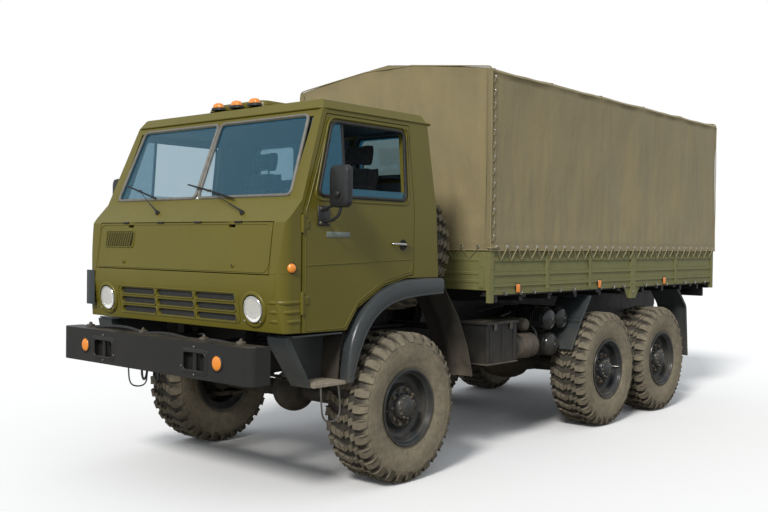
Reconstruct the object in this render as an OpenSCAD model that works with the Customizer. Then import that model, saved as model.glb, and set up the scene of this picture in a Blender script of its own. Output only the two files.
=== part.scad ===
// Military cargo truck, three axles, cab over the engine, covered load bed.
// +X is forward, +Y is the left side, +Z is up.  The origin is on the ground
// under the middle of the overall box.  from_axle() moves a module's local
// frame to the point on the ground under the front axle, and side(-1)
// mirrors a left-hand piece to the right-hand side.

/* [Overall] */
// Distance from the front axle to the bumper's face
front_overhang = 1580; // [1500:5:1900]
// Distance from the front axle to the rear end of the load bed
bed_rear = 6400; // [6000:10:7600]
// Distance from the front axle to the front face of the load bed
bed_front = 1246; // [1180:2:1300]
// Distance between the front axle and the middle axle
wheelbase = 3340; // [3000:10:3900]
// Distance between the middle axle and the rear axle
bogie_pitch = 1320; // [1290:10:1600]
// Distance between the wheel centre planes of one axle
track = 2300; // [2000:10:2400]

/* [Wheels and steering] */
// Outer radius of a tyre
tyre_r = 605; // [520:5:640]
// Width of a tyre
tyre_w = 410; // [340:5:440]
// Radius of the seat between tyre and rim
bead_r = 272; // [240:2:300]
// Outer radius of the rim's flanges
flange_r = 312; // [300:2:330]
// Distance from the wheel's centre plane in to the king pin's axis
kingpin_offset = 150; // [120:5:200]
// Radius of a hub spindle
spindle_r = 60; // [40:1:70]
// Running clearance of pins and spindles
fit = 0.3; // [0.2:0.1:1]

/* [Chassis] */
// Height of the frame rails' lower face above the axles' centres
rail_lift = 275; // [270:5:340]
// Height of a frame rail's section
rail_h = 240; // [200:5:280]
// Distance between the rails' outer faces
frame_w = 864; // [780:4:900]
// Width of a rail's flanges
rail_flange = 80; // [60:2:100]
// Thickness of a rail's web and flanges
rail_t = 10; // [6:1:14]
// Width of the bumper
bumper_w = 2420; // [2200:10:2500]
// Height of the bumper's section
bumper_h = 270; // [200:5:320]
// Height of the bumper's lower face
bumper_z = 918; // [860:5:960]

/* [Cab] */
// Half the width of the cab below the windows
cab_half = 1240; // [1200:5:1250]
// Half the width of the cab at the roof's lip
roof_half = 1165; // [1120:5:1200]
// Thickness of doors, panels and walls
wall = 45; // [30:1:60]
// Gap around each door, lid and tailgate
gap = 7; // [6:1:10]
// Height of the cab floor's upper face
floor_z = 1740; // [1700:5:1780]
// Height of the sill of the windows
belt_z = 2227; // [2180:1:2260]
// Height of the roof's lip
lip_z = 2924; // [2850:2:3000]
// Height of the roof's upper face
roof_z = 3030; // [3010:2:3100]
// Lower edge of the front lid
lid_z0 = 1688; // [1650:2:1720]
// Upper edge of the front lid
lid_z1 = 2062; // [2000:2:2100]
// Half the width of the front lid
lid_half = 1098; // [1000:2:1140]

/* [Load bed] */
// Overall width of the tilt over the bed
body_w = 2500; // [2400:10:2560]
// Height of the bed floor's upper face
bed_floor_z = 1560; // [1540:5:1600]
// Height of the boards' upper edge
board_top_z = 1960; // [1900:5:2060]
// Thickness of a board
board_t = 26; // [20:1:40]
// Height of the tilt's lower hem
hem_z = 1862; // [1800:2:1880]
// Height of the tilt's eaves
eave_z = 3525; // [3300:5:3700]
// Height of the tilt's ridge
ridge_z = 3685; // [3400:5:3800]
// Thickness of the tilt's cloth as a closed solid
tilt_t = 9.5; // [6:0.5:14]

/* [Hidden] */
$fn = 48;
eps = 0.3;                               // seat gap between touching bodies
axle_z = tyre_r;
rail_z = axle_z + rail_lift;
hook_reach = 94.3;                       // tow hook behind the bed
half_length = (front_overhang + bed_rear + hook_reach) / 2;
front_axle_x = half_length - front_overhang;
mid_axle = -wheelbase;
rear_axle_at = -wheelbase - bogie_pitch;
kingpin_y = track / 2 - kingpin_offset;
shaft_z = axle_z + 30;
head_reach = 215;                        // drive head's flange from its axle
transfer_front = -1990;
transfer_rear = -2290;
member_top = rail_z + 120;               // upper face of the cross-members
engine_top = 1600;
bogie_seat_z = rail_z + 20;              // underside of the bogie's brackets
rear_spring_drop = 60;
rail_y = frame_w / 2;
rail_top = rail_z + rail_h;
rail_front = 1330;                       // rails end behind the bumper
rail_rear = -bed_rear + 60;

// Cab side outline, x forward of the front axle and z up
cab_back_low = -480;
cab_back_high = -400;
nose_x = 1318;
nose_low_x = 1275;
nose_low_z = 1268;
nose_z = 1581;
lid_x0 = 1311;
lid_x1 = 1267;
screen_x0 = 1115;                        // foot of the windscreen
screen_x1 = 841;                         // head of the windscreen
door_back = -150;
door_front = 1105;
door_head_x = 800;
door_low_z = 1253;
door_top_z = 2880;
hinge_x = 1113;
hinge_r = 12.7;
hinge_y = cab_half + 4;
hinge_low_z = 1400;
lamp_y = 934;                            // headlamps and grille
lamp_z = 1430;
lamp_r = 104;
lid_pin_x = lid_x1 - 3;                  // axis of the front lid's hinges
lid_pin_z = lid_z1 - 2;
lid_pin_r = 5;
lid_hinges = [-650, 650];                // places across the front
hinge_high_z = 2010;
hinge_h = 110;
window_z0 = 2265;
window_z1 = 2825;

// Bed
post_y1 = body_w / 2 - tilt_t - eps;     // outer face of the posts
board_y1 = post_y1 - 14;                 // outer face of the boards
tilt_front = -bed_front + tilt_t + eps;  // outer face of the tilt's front
gate_x = -bed_rear;                      // outer face of the tailgate
gate_hinge_z = bed_floor_z - 48;
gate_pin_x = gate_x + 2;
gate_pin_r = 8;
gate_hinges = [-900, -300, 300, 900];    // places across the bed

cab_green = "darkolivegreen";
black_steel = "dimgray";
tyre_grey = "slategray";
canvas_tan = "tan";

// ---- Helpers ----

// Local frame on the ground under the front axle
module from_axle() translate([front_axle_x, 0, 0]) children();

// The left side as modelled, or its mirror image for the right side
module side(s) {
    if (s > 0)
        children();
    else
        mirror([0, 1, 0]) children();
}

// Box from its lowest to its highest corner
module block(a, b) translate(a) cube(b - a);

// Outline in x and z, extruded from y0 to y1
module along_y(y0, y1) translate([0, y1, 0]) rotate([90, 0, 0]) linear_extrude(y1 - y0) children();

// Outline in y and z, extruded from x0 to x1
module along_x(x0, x1) translate([x0, 0, 0]) rotate([90, 0, 90]) linear_extrude(x1 - x0) children();

// Round bar from point a to point b
module rod(a, b, r) {
    d = b - a;
    turn = atan2(d.y, d.x);
    tilt_angle = acos(d.z / norm(d));
    translate(a) rotate([0, tilt_angle, turn]) cylinder(h = norm(d), r = r);
}

// Rectangle with round corners, built from exact arcs
module round_rect(w, h, r) {
    square([w - 2 * r, h], center = true);
    square([w, h - 2 * r], center = true);
    for (i = [-1, 1], j = [-1, 1])
        translate([i * (w / 2 - r), j * (h / 2 - r)]) circle(r);
}

// ---- Chassis ----

cross_members = [1180, 620, -620, -1500, -2500, -3340, -4660, -5560];

module chassis_frame() color(black_steel) from_axle() {
    web_in = rail_y - rail_flange;
    for (s = [-1, 1]) side(s) difference() {
        block([rail_rear, web_in, rail_z], [rail_front, rail_y, rail_top]);
        block([rail_rear - 1, web_in - 1, rail_z + rail_t],
              [rail_front + 1, rail_y - rail_t, rail_top - rail_t]);
    }
    for (x = cross_members)
        block([x - 40, -rail_y + rail_t - 1, rail_z + rail_t - 1],
              [x + 40, rail_y - rail_t + 1, member_top]);
    // Closing beam at the rear, which carries the tow hook
    block([rail_rear - 12, -rail_y, rail_z - 40], [rail_rear + 60, rail_y, rail_top]);
    // Bogie brackets that carry the rear springs
    bogie_x = (mid_axle + rear_axle_at) / 2;
    for (s = [-1, 1]) side(s)
        block([bogie_x - 90, rail_y, bogie_seat_z], [bogie_x + 90, rail_y + 100, rail_top - 20]);
    // Hangers of the front springs
    for (s = [-1, 1], x = [-740, 740]) side(s)
        block([x - 35, rail_y - rail_flange, spring_end_z + eps], [x + 35, rail_y, rail_z + 1]);
    // Mounts that carry the cab
    for (s = [-1, 1], x = [-360, 900]) side(s)
        block([x - 45, rail_y - rail_flange, rail_top - 1], [x + 45, rail_y, floor_z - wall - eps]);
}

module front_bumper() color(black_steel) from_axle() {
    face = front_overhang;
    depth = 200;
    top = bumper_z + bumper_h;
    pocket_half = 130;
    pocket_y = 590;
    difference() {
        linear_extrude(height = 2 * top, center = true) polygon([
            [face - depth, -bumper_w / 2], [face - 60, -bumper_w / 2],
            [face, -bumper_w / 2 + 22], [face, bumper_w / 2 - 22],
            [face - 60, bumper_w / 2], [face - depth, bumper_w / 2]]);
        block([face - depth - 1, -bumper_w, -2 * top], [face + 1, bumper_w, bumper_z]);
        block([face - depth - 1, -bumper_w, top], [face + 1, bumper_w, 2 * top]);
        // Hollow back
        block([face - depth - 1, -bumper_w / 2 + 12, bumper_z + 12],
              [face - 70, bumper_w / 2 - 12, top - 12]);
        // Recesses for the towing eyes
        for (y = [-pocket_y, pocket_y])
            block([face - 60, y - pocket_half, bumper_z + 55],
                  [face + 1, y + pocket_half, bumper_z + 195]);
    }
    // Towing pins, upright in their recesses
    for (y = [-pocket_y, pocket_y])
        translate([face - 30, y, bumper_z + 50]) cylinder(h = 150, r = 18);
    // Brackets to the frame rails
    for (s = [-1, 1]) side(s)
        block([rail_front, rail_y - 60, bumper_z + 12], [face - 69, rail_y, top - 30]);
}

module engine_block() color(black_steel) from_axle()
    block([-350, -330, member_top + eps], [760, 330, engine_top]);

module gearbox() color(black_steel) from_axle() {
    block([-1060, -190, member_top + eps], [-350 - eps, 190, member_top + 300]);
    block([transfer_rear, -250, shaft_z - 75], [transfer_front, 250, rail_z + 200]);
    // Hangers of the transfer case, up to the rails
    for (s = [-1, 1]) side(s)
        block([-2200, 249, rail_z + 80], [-2080, rail_y - rail_t, rail_z + 180]);
    // Short shaft between the two
    rod([-1059, 0, member_top + 65], [transfer_front - 1, 0, member_top + 60], 38);
}

// Shafts between the transfer case and the axles: first and last x
shaft_runs = [
    [transfer_front + eps, -head_reach],
    [transfer_rear - eps, mid_axle + head_reach],
    [mid_axle - head_reach, rear_axle_at + head_reach]];

module prop_shafts() color(black_steel) from_axle()
    for (run = shaft_runs)
        rod([run[0], 0, shaft_z], [run[1], 0, shaft_z], 42);

// Stack of leaves as nested arcs, the longest one first.  The middle lies
// on the origin, and the ends lie higher by rise, or lower where up is -1
module leaf_stack(span, rise, up, leaves, leaf_t) {
    r = (pow(span / 2, 2) + pow(rise, 2)) / (2 * rise);
    for (i = [0 : leaves - 1]) {
        half = span / 2 * (1 - 0.8 * i / leaves);
        scale([1, up]) intersection() {
            translate([0, r]) difference() {
                circle(r + leaf_t * (i + 1), $fn = 180);
                circle(r, $fn = 180);
            }
            translate([-half, -leaves * leaf_t - 1]) square([2 * half, rise + leaves * leaf_t + 1]);
        }
    }
}

// Front spring: pad on the axle, leaves above it, ends under the rail
front_leaves = 6;
rear_leaves = 8;
leaf_t = 12;
spring_pad = 30;
front_spring_z = axle_z + 75 + eps + spring_pad + front_leaves * leaf_t - 1;
front_spring_rise = 90;
spring_end_z = front_spring_z + front_spring_rise;

module front_springs() color(black_steel) from_axle()
    for (s = [-1, 1]) side(s) {
        seat = axle_z + 75 + eps;
        along_y(rail_y - rail_flange, rail_y) translate([0, front_spring_z])
            leaf_stack(1500, front_spring_rise, 1, front_leaves, leaf_t);
        block([-75, rail_y - 90, seat], [75, rail_y + 10, seat + spring_pad]);
    }

module rear_springs() color(black_steel) from_axle()
    for (s = [-1, 1]) side(s) {
        bogie_x = (mid_axle + rear_axle_at) / 2;
        along_y(rail_y, rail_y + 90) translate([bogie_x, bogie_seat_z - eps - rear_leaves * leaf_t])
            leaf_stack(bogie_pitch, rear_spring_drop, -1, rear_leaves, leaf_t);
    }

// Housing with its drive head, between the brake flanges
module axle_housing(half, head_dir) {
    tube_r = 75;
    rod([0, -half, 0], [0, half, 0], tube_r);
    sphere(r = 190);
    rod([0, 0, shaft_z - axle_z], [head_dir * (head_reach - eps), 0, shaft_z - axle_z], 85);
}

module front_axle() color(black_steel) from_axle() translate([0, 0, axle_z]) {
    ball_r = 112;
    axle_housing(kingpin_y, -1);
    for (y = [-kingpin_y, kingpin_y]) translate([0, y, 0]) {
        sphere(r = ball_r);
        translate([0, 0, -160]) cylinder(h = 320, r = 26);
    }
}

module driven_axle(x, head_dir) color(black_steel) from_axle() translate([x, 0, axle_z]) {
    wheel_y = track / 2;
    axle_housing(wheel_y - 40, head_dir);
    rod([0, -wheel_y - 88, 0], [0, wheel_y + 88, 0], spindle_r);
    for (s = [-1, 1]) side(s) {
        rod([0, wheel_y - 170, 0], [0, wheel_y - 20, 0], 205);
        // Pads under the spring ends
        block([-70, rail_y, 40], [70, rail_y + 90, bogie_seat_z - axle_z - rear_spring_drop
            - rear_leaves * leaf_t - 2 * eps]);
    }
    // Shaft stub to the next axle
    stub = x == mid_axle ? head_reach - eps : 195;
    rod([0, 0, shaft_z - axle_z], [-head_dir * stub, 0, shaft_z - axle_z], 60);
}

module middle_axle() driven_axle(mid_axle, 1);
module rear_axle() driven_axle(rear_axle_at, 1);

// ---- Wheels ----

// Half section of the tyre: radius and offset from the centre plane
module tyre_section() {
    h = tyre_w / 2;
    polygon([
        [bead_r, -h + 40], [bead_r + 28, -h + 40], [bead_r + 78, -h + 22],
        [440, -h], [tyre_r - 65, -h + 4], [tyre_r - 16, -h + 20], [tyre_r, -h + 52],
        [tyre_r, h - 52], [tyre_r - 16, h - 20], [tyre_r - 65, h - 4],
        [440, h], [bead_r + 78, h - 22], [bead_r + 28, h - 40], [bead_r, h - 40]]);
}

// Half section of rim, disc and hub, with a blind bore for the spindle
module rim_section() {
    seat = bead_r - eps;
    barrel = bead_r - 22;
    h = tyre_w / 2;
    lip = h - 33;
    bore = spindle_r + fit;
    polygon([
        [bore, 20], [118, 20], [130, 78], [barrel, 50], [barrel, -lip - 16], [flange_r, -lip - 16],
        [flange_r, -lip], [seat, -lip], [seat, lip], [flange_r, lip], [flange_r, lip + 16],
        [barrel, lip + 16], [barrel, 72], [170, 100], [165, 120], [112, 120],
        [105, 178], [60, 186], [0, 186], [0, 92], [bore, 92]]);
}

// Wheel about a vertical axis, its outer face up
module wheel_solid() {
    rotate_extrude($fn = 96) tyre_section();
    rotate_extrude($fn = 96) rim_section();
}

module wheel_at(x, s) color(tyre_grey) from_axle() side(s)
    translate([x, track / 2, axle_z]) rotate([-90, 0, 0]) wheel_solid();

module wheel_front_left() wheel_at(0, 1);
module wheel_front_right() wheel_at(0, -1);
module wheel_middle_left() wheel_at(mid_axle, 1);
module wheel_middle_right() wheel_at(mid_axle, -1);
module wheel_rear_left() wheel_at(rear_axle_at, 1);
module wheel_rear_right() wheel_at(rear_axle_at, -1);

// Yoke around the axle's ball, with the spindle that carries the wheel
module knuckle(s) color(black_steel) from_axle() side(s)
    translate([0, kingpin_y, axle_z]) {
        difference() {
            union() {
                block([-80, -75, -158], [80, 158, -122]);
                block([-80, -75, 122], [80, 158, 158]);
                block([-80, 122, -158], [80, 158, 158]);
                rod([0, 140, 0], [0, kingpin_offset + 18, 0], 200);
            }
            translate([0, 0, -200]) cylinder(h = 400, r = 26 + fit);
        }
        rod([0, 140, 0], [0, kingpin_offset + 88, 0], spindle_r);
        // Steering arm
        block([-230, -110, -158], [-60, -55, -125]);
    }
module knuckle_left() knuckle(1);
module knuckle_right() knuckle(-1);

// ---- Fenders and mudguards ----

// Line of the front wheel arch: x forward of the axle and z, front to back
arch_line = [
    [690, 846], [660, 1190], [500, 1420], [200, 1568], [-68, 1622],
    [-540, 1622], [-590, 1515], [-780, 1278], [-905, 1030], [-992, 741]];

// Band that follows a line, moved towards the wheel by its thickness
module band(line, t, towards) {
    inner = [for (p = line) let (d = p - towards) p - t * d / norm(d)];
    polygon(concat(line, [for (i = [len(line) - 1 : -1 : 0]) inner[i]]));
}

module fender(s) color(black_steel) from_axle() side(s) {
    arch_y0 = 800;
    lip_y = cab_half + 50;
    centre = [-100, axle_z];
    along_y(arch_y0, lip_y) band(arch_line, 12, centre);
    along_y(lip_y - 30, lip_y) band(arch_line, 60, centre);
    // Mud flap
    block([-998, arch_y0 + 60, 350], [-982, lip_y - 10, 760]);
    // Step well and step
    block([690 - 20, 1000, 860], [1180, 1012, 1244]);
    block([690, 990, 856], [1190, cab_half + 4, 884]);
    block([1176, 1000, 856], [1190, cab_half - 4, 940]);
    // Wire step that hangs below
    for (x = [760, 1060])
        rod([x, 1180, 860], [x, 1180, 560], 10);
    rod([750, 1180, 560], [1070, 1180, 560], 10);
    // Arms to the frame rail
    for (x = [760, 1100])
        block([x - 30, rail_y, 960], [x + 30, 1001, 1020]);
    block([-640, rail_y, 1040], [-560, 801, 1100]);
    block([-640, 790, 1040], [-600, 830, 1540]);
}
module fender_left() fender(1);
module fender_right() fender(-1);

// Lines of the bogie's guards: ahead of the middle wheel, behind the rear wheel
guard_front = [for (p = [[215, 1392], [420, 1130], [600, 850]]) [mid_axle + p[0], p[1]]];
guard_rear = [for (p = [[-670, 1392], [-900, 1180], [-960, 560]]) [rear_axle_at + p[0], p[1]]];

module mudguards(s) color(black_steel) from_axle() side(s) {
    along_y(850, 1236) band(guard_front, 10, [mid_axle, axle_z]);
    along_y(850, 1236) band(guard_rear, 10, [rear_axle_at, axle_z]);
    // Arms from the frame rail
    block([mid_axle + 500, rail_y, 940], [mid_axle + 550, 856, 1000]);
    block([rear_axle_at - 940, rail_y, 1040], [rear_axle_at - 880, 860, 1100]);
}
module mudguards_left() mudguards(1);
module mudguards_right() mudguards(-1);

// ---- Side equipment ----

module battery_box() color(black_steel) from_axle() {
    block([-1800, 870, 800], [-1300, 1180, 1180]);
    block([-1810, 860, 1180], [-1290, 1190, 1196]);
    for (x = [-1700, -1400])
        block([x - 30, rail_y, 900], [x + 30, 871, 980]);
}

module fuel_tank() color(black_steel) from_axle() {
    w = 1100;
    tank_mid = -1620;
    mirror([0, 1, 0]) {
        translate([tank_mid - w / 2, 880, 900]) rotate([90, 0, 90])
            linear_extrude(w) round_rect(600, 560, 90);
        for (x = [tank_mid - 380, tank_mid + 380])
            block([x - 30, rail_y, 900], [x + 30, 590, 980]);
    }
}

// Air tanks on the left side: x and z, across the truck
tank_r = 118;
tank_out = 1120;
tank_places = [[-2545, 1165], [-2790, 1165], [-2600, 905]];

module air_tanks() color(black_steel) from_axle() {
    for (t = tank_places) {
        rod([t[0], 560, t[1]], [t[0], tank_out - 40, t[1]], tank_r);
        rod([t[0], tank_out - 41, t[1]], [t[0], tank_out, t[1]], tank_r - 30);
    }
    // Drum along the truck, with a filter above it
    rod([-1870, 1015, 920], [-2290, 1015, 920], 124);
    rod([-2130, 560, 1130], [-2130, 1080, 1130], 62);
    // Carrier from the frame rail
    block([-2780, rail_y, 980], [-2040, 561, 1080]);
    block([-2110, 555, 985], [-2050, 960, 1040]);
    block([-2150, 555, 1039], [-2110, 600, 1090]);
}

module spare_wheel() color(tyre_grey) from_axle() {
    hub = [-860, 350, 1900];
    translate(hub) rotate([0, 90, 0]) wheel_solid();
    // Stand on the frame rails
    stand_x = -1150;
    block([stand_x, -rail_y, rail_top], [stand_x + 70, 760, rail_top + 60]);
    for (y = [120, 520])
        block([stand_x, y, rail_top + 59], [stand_x + 60, y + 60, 2060]);
    block([stand_x, 120, 1860], [stand_x + 60, 580, 1940]);
    rod([stand_x + 59, hub.y, hub.z], [hub.x + 90, hub.y, hub.z], spindle_r);
}

module pintle_hook() color(black_steel) from_axle() {
    hook_z = 960;
    x0 = rail_rear - 12 - eps;
    block([x0 - 20, -90, hook_z - 90], [x0, 90, hook_z + 90]);
    rod([x0 - 19, 0, hook_z], [x0 - 60, 0, hook_z], 45);
    translate([x0 - 92, 0, hook_z - 30]) difference() {
        cylinder(h = 60, r = 50);
        translate([0, 0, -1]) cylinder(h = 62, r = 24);
    }
}

// ---- Cab ----

// Outline of the cab's side, x forward of the axle and z
cab_side = [
    [nose_low_x, nose_low_z], [nose_x, nose_z], [lid_x0, lid_z0], [lid_x1, lid_z1],
    [screen_x0, belt_z], [screen_x1, lip_z], [screen_x1 - 50, roof_z - 30],
    [screen_x1 - 190, roof_z], [cab_back_high + 150, roof_z], [cab_back_high + 30, roof_z - 40],
    [cab_back_high, lip_z], [cab_back_low, 1650], [cab_back_low, nose_low_z - 20]];

// Half section of the cab, inset by t
function cab_half_section(t) = [
    [cab_half - t, nose_low_z - 40], [cab_half - t, belt_z - 20],
    [roof_half - t, lip_z], [roof_half - 40 - t, roof_z - 34 - t], [roof_half - 190 - t, roof_z + 1 - t]];

module cab_section(t) {
    half = cab_half_section(t);
    polygon(concat(half, [for (i = [len(half) - 1 : -1 : 0]) [-half[i][0], half[i][1]]]));
}

// Plan with round front corners
module cab_plan(t) {
    r = 110;
    translate([cab_back_low - 200, -cab_half + t])
        square([nose_x - cab_back_low + 200 - r, 2 * (cab_half - t)]);
    translate([cab_back_low, -cab_half + t + r])
        square([nose_x - cab_back_low - t, 2 * (cab_half - t - r)]);
    for (s = [-1, 1]) translate([nose_x - r - t, s * (cab_half - t - r)]) circle(r);
}

module cab_outer() intersection() {
    along_y(-cab_half, cab_half) polygon(cab_side);
    along_x(cab_back_low - 1, nose_x + 1) cab_section(0);
    linear_extrude(roof_z + 10) cab_plan(0);
}

// Room for driver and passenger
module cabin_room() intersection() {
    along_y(-cab_half, cab_half) polygon([
        [cab_back_low + wall, floor_z], [1060, floor_z], [1060, belt_z - 20],
        [screen_x1 - 46, lip_z - 10], [screen_x1 - 90, roof_z - 72],
        [cab_back_high + 120, roof_z - wall], [cab_back_high + wall, roof_z - 80]]);
    along_x(cab_back_low - 1, nose_x + 1) cab_section(wall);
}

// Door outline, grown by g
function door_outline(g) = [
    [door_back - g, 1668 - g], [door_back - g, door_top_z + g], [door_head_x + g, door_top_z + g],
    [door_front - 25 + 1.4 * g, belt_z - 20], [door_front + g, belt_z - 80],
    [door_front + g, door_low_z - g], [648 - g, door_low_z - g],
    [505 - g, 1448 - g], [215, 1596 - g], [-60, 1655 - g]];

module window_outline() polygon([[-50, window_z0], [-70, window_z1], [762, window_z1], [945, window_z0]]);

module door(s) color(cab_green) from_axle() side(s) {
    difference() {
        intersection() {
            cab_outer();
            along_y(800, cab_half + 1) polygon(door_outline(0));
        }
        along_x(cab_back_low, nose_x) cab_section(wall);
        along_y(800, cab_half + 1) window_outline();
    }
    // Hinge barrels
    for (z = [hinge_low_z, hinge_high_z]) {
        translate([hinge_x, hinge_y, z]) cylinder(h = hinge_h, r = hinge_r);
        block([door_front - 30, cab_half - 6, z], [hinge_x, hinge_y + 2, z + hinge_h]);
    }
    // Handle
    block([door_back + 60, cab_half - 1, 1900], [door_back + 200, cab_half + 22, 1922]);
}
module door_left() door(1);
module door_right() door(-1);

module door_cuts() for (s = [-1, 1]) side(s) {
    along_y(cab_half - wall - 1, cab_half + 1) polygon(door_outline(gap));
    along_y(roof_half - wall - 60, cab_half + 1) intersection() {
        polygon(door_outline(gap));
        translate([-1000, belt_z - 20]) square([3000, 2000]);
    }
    translate([hinge_x, hinge_y, door_low_z - 20])
        cylinder(h = hinge_high_z + hinge_h + 30 - door_low_z, r = hinge_r + eps);
}

module front_cut() block([1130, -cab_half - 1, 1000], [nose_x + 10, cab_half + 1, lid_z0]);

module lid_cut(g) block([1100, -lid_half - g, lid_z0 - g], [nose_x + 10, lid_half + g, lid_z1 + g]);

module screen_cut(g) along_y(-1095 - g, 1095 + g) polygon([
    [screen_x0 + 60, belt_z + 30 - g], [screen_x0 - 160, belt_z + 30 - g],
    [screen_x1 - 160, lip_z - 60 + g], [screen_x1 + 100, lip_z - 60 + g]]);

// Lugs and pins that carry the front lid
module lid_hinge_lugs() for (y = lid_hinges) {
    block([lid_pin_x - 18, y - 30, lid_pin_z - 9], [lid_pin_x + 5, y + 30, lid_z1 + gap + 3]);
    rod([lid_pin_x, y - 60, lid_pin_z], [lid_pin_x, y + 60, lid_pin_z], lid_pin_r);
}

module cab_shell() color(cab_green) from_axle() {
    cab_skin();
    lid_hinge_lugs();
}

module cab_skin() difference() {
    cab_outer();
    cabin_room();
    door_cuts();
    front_cut();
    lid_cut(gap);
    screen_cut(0);
    // Everything from the lip up is the roof panel
    block([-2000, -2000, lip_z - eps], [2000, 2000, roof_z + 100]);
    // Open space under the floor, between side skins that end at the arch
    along_y(-cab_half + wall, cab_half - wall)
        polygon([[cab_back_low + wall, 1000], [1200, 1000], [1200, floor_z - wall],
            [cab_back_low + wall, floor_z - wall]]);
    along_y(-cab_half - 1, cab_half + 1)
        polygon([[cab_back_low - 1, 1000], [cab_back_low - 1, 1640], [-200, 1640], [-60, 1640],
                 [215, 1582], [505, 1430], [700, 1230], [1200, 1230], [1200, 1000]]);
    // Two rear windows
    for (y = [-680, 680])
        along_x(cab_back_low - 10, cab_back_high + wall + 10) translate([y, 2670]) round_rect(550, 330, 60);
}

module cab_roof() color(cab_green) from_axle() difference() {
    intersection() {
        cab_outer();
        block([-2000, -2000, lip_z], [2000, 2000, roof_z + 100]);
    }
    cabin_room();
}

// Grille slots: columns by rows
module grille_slots() {
    column_w = 470;
    column_pitch = 496;
    row_h = 48;
    row_pitch = 76;
    for (c = [-1, 0, 1], r = [-1, 0, 1])
        block([nose_low_x - 120, c * column_pitch - column_w / 2, lamp_z + r * row_pitch - row_h / 2],
              [nose_x + 1, c * column_pitch + column_w / 2, lamp_z + r * row_pitch + row_h / 2]);
}

module front_panel() color(cab_green) from_axle() difference() {
    intersection() {
        cab_outer();
        block([1130 + eps, -cab_half - 1, 1000], [nose_x + 10, cab_half + 1, lid_z0 - eps]);
    }
    // Hollow behind the skin
    intersection() {
        along_y(-cab_half + wall, cab_half - wall)
            polygon([[1000, 1200], [nose_low_x - wall, 1200], [nose_x - wall, nose_z],
                [lid_x0 - wall, lid_z0 + 1], [1000, lid_z0 + 1]]);
        linear_extrude(3000) cab_plan(wall);
    }
    lid_cut(gap);
    grille_slots();
    door_cuts();
    for (y = [-lamp_y, lamp_y])
        rod([nose_low_x - 130, y, lamp_z], [nose_x + 1, y, lamp_z], lamp_r);
}

module headlamps() color("silver") from_axle()
    for (y = [-lamp_y, lamp_y]) translate([nose_low_x - 66, y, lamp_z]) rotate([0, 90, 0]) {
        cylinder(h = 92, r = lamp_r - eps);
        rotate_extrude() intersection() {
            translate([0, -130]) circle(250);
            square([92, 200]);
        }
    }

module hood_panel() color(cab_green) from_axle() difference() {
    intersection() {
        cab_outer();
        lid_cut(0);
    }
    along_y(-lid_half - 1, lid_half + 1)
        polygon([[1000, lid_z0 - 1], [lid_x0 - wall, lid_z0 - 1], [lid_x1 - wall, lid_z1 + 1],
            [1000, lid_z1 + 1]]);
    // Notches and bores of the hinges
    for (y = lid_hinges) {
        block([lid_x1 - wall - 20, y - 38, lid_pin_z - 34], [lid_x1 + 20, y + 38, lid_z1 + 1]);
        rod([lid_pin_x, y - 61, lid_pin_z], [lid_pin_x, y + 61, lid_pin_z], lid_pin_r + fit);
    }
}

// Two panes that meet at the middle bar
module windscreen() color("skyblue") from_axle() intersection() {
    screen_cut(-eps);
    union() {
        along_y(-1090, 1090) polygon([
            [screen_x0 - 14, belt_z], [screen_x0 - 22, belt_z],
            [screen_x1 - 22, lip_z], [screen_x1 - 14, lip_z]]);
        along_y(-14, 14) polygon([
            [screen_x0 - 4, belt_z], [screen_x0 - 40, belt_z],
            [screen_x1 - 40, lip_z], [screen_x1 - 4, lip_z]]);
    }
}

module dashboard() color("dimgray") from_axle() along_y(-1150, 1150)
    polygon([[1060 - eps, 2010], [1060 - eps, 2190], [920, 2215], [800, 2190], [770, 2080], [840, 2010]]);

// Wheel and its column, which stands on the floor
module steering_wheel() color("black") from_axle() {
    lean = 30;
    column_r = 30;
    centre = [620, 600, 2230];
    column = (centre.z - floor_z - column_r * sin(lean) - eps) / cos(lean);
    translate(centre) rotate([0, -lean, 0]) {
        rotate_extrude() translate([225, 0]) circle(16);
        translate([0, 0, -20]) cylinder(h = 40, r = 50);
        for (a = [0, 120, 240]) rotate(a) block([40, -14, -7], [225, 14, 7]);
        translate([0, 0, -column]) cylinder(h = column, r = column_r);
    }
}

module seat(w) {
    block([-230, -w / 2, floor_z + eps], [250, w / 2, 1900]);
    block([-250, -w / 2 - 10, 1900], [300, w / 2 + 10, 2040]);
    along_y(-w / 2, w / 2) polygon([[-280, 1960], [-160, 1960], [-230, 2560], [-340, 2560]]);
    along_y(-150, 150) polygon([[-290, 2560], [-240, 2560], [-260, 2760], [-330, 2760]]);
}

module seats() color("black") from_axle() {
    translate([110, 600, 0]) seat(520);
    translate([110, -600, 0]) seat(520);
    translate([110, 0, 0]) seat(420);
}

module mirror_arm(s) color("black") from_axle() side(s) {
    y0 = cab_half + eps;
    block([900, y0, 1985], [1020, y0 + 14, 2125]);
    rod([975, y0 + 8, 2095], [902, 1402, 2200], 9);
    rod([945, y0 + 8, 2015], [898, 1398, 2150], 9);
    rod([900, 1400, 2130], [900, 1400, 2300], 13);
    translate([880, 1400, 2330]) rotate([0, 0, -12])
        rotate([90, 0, 90]) linear_extrude(45) round_rect(190, 310, 60);
}
module mirror_left() mirror_arm(1);
module mirror_right() mirror_arm(-1);

// ---- Load bed ----

// Posts of the sides: x, half width along x and lower end
post_table = [
    [-bed_front - 31, 31, 1385],
    [-2245, 28, 1470],
    [-3090, 30, 1470],
    [-4090, 60, 1330],
    [-5230, 28, 1470],
    [-bed_rear + 58, 31, 1385]];

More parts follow.
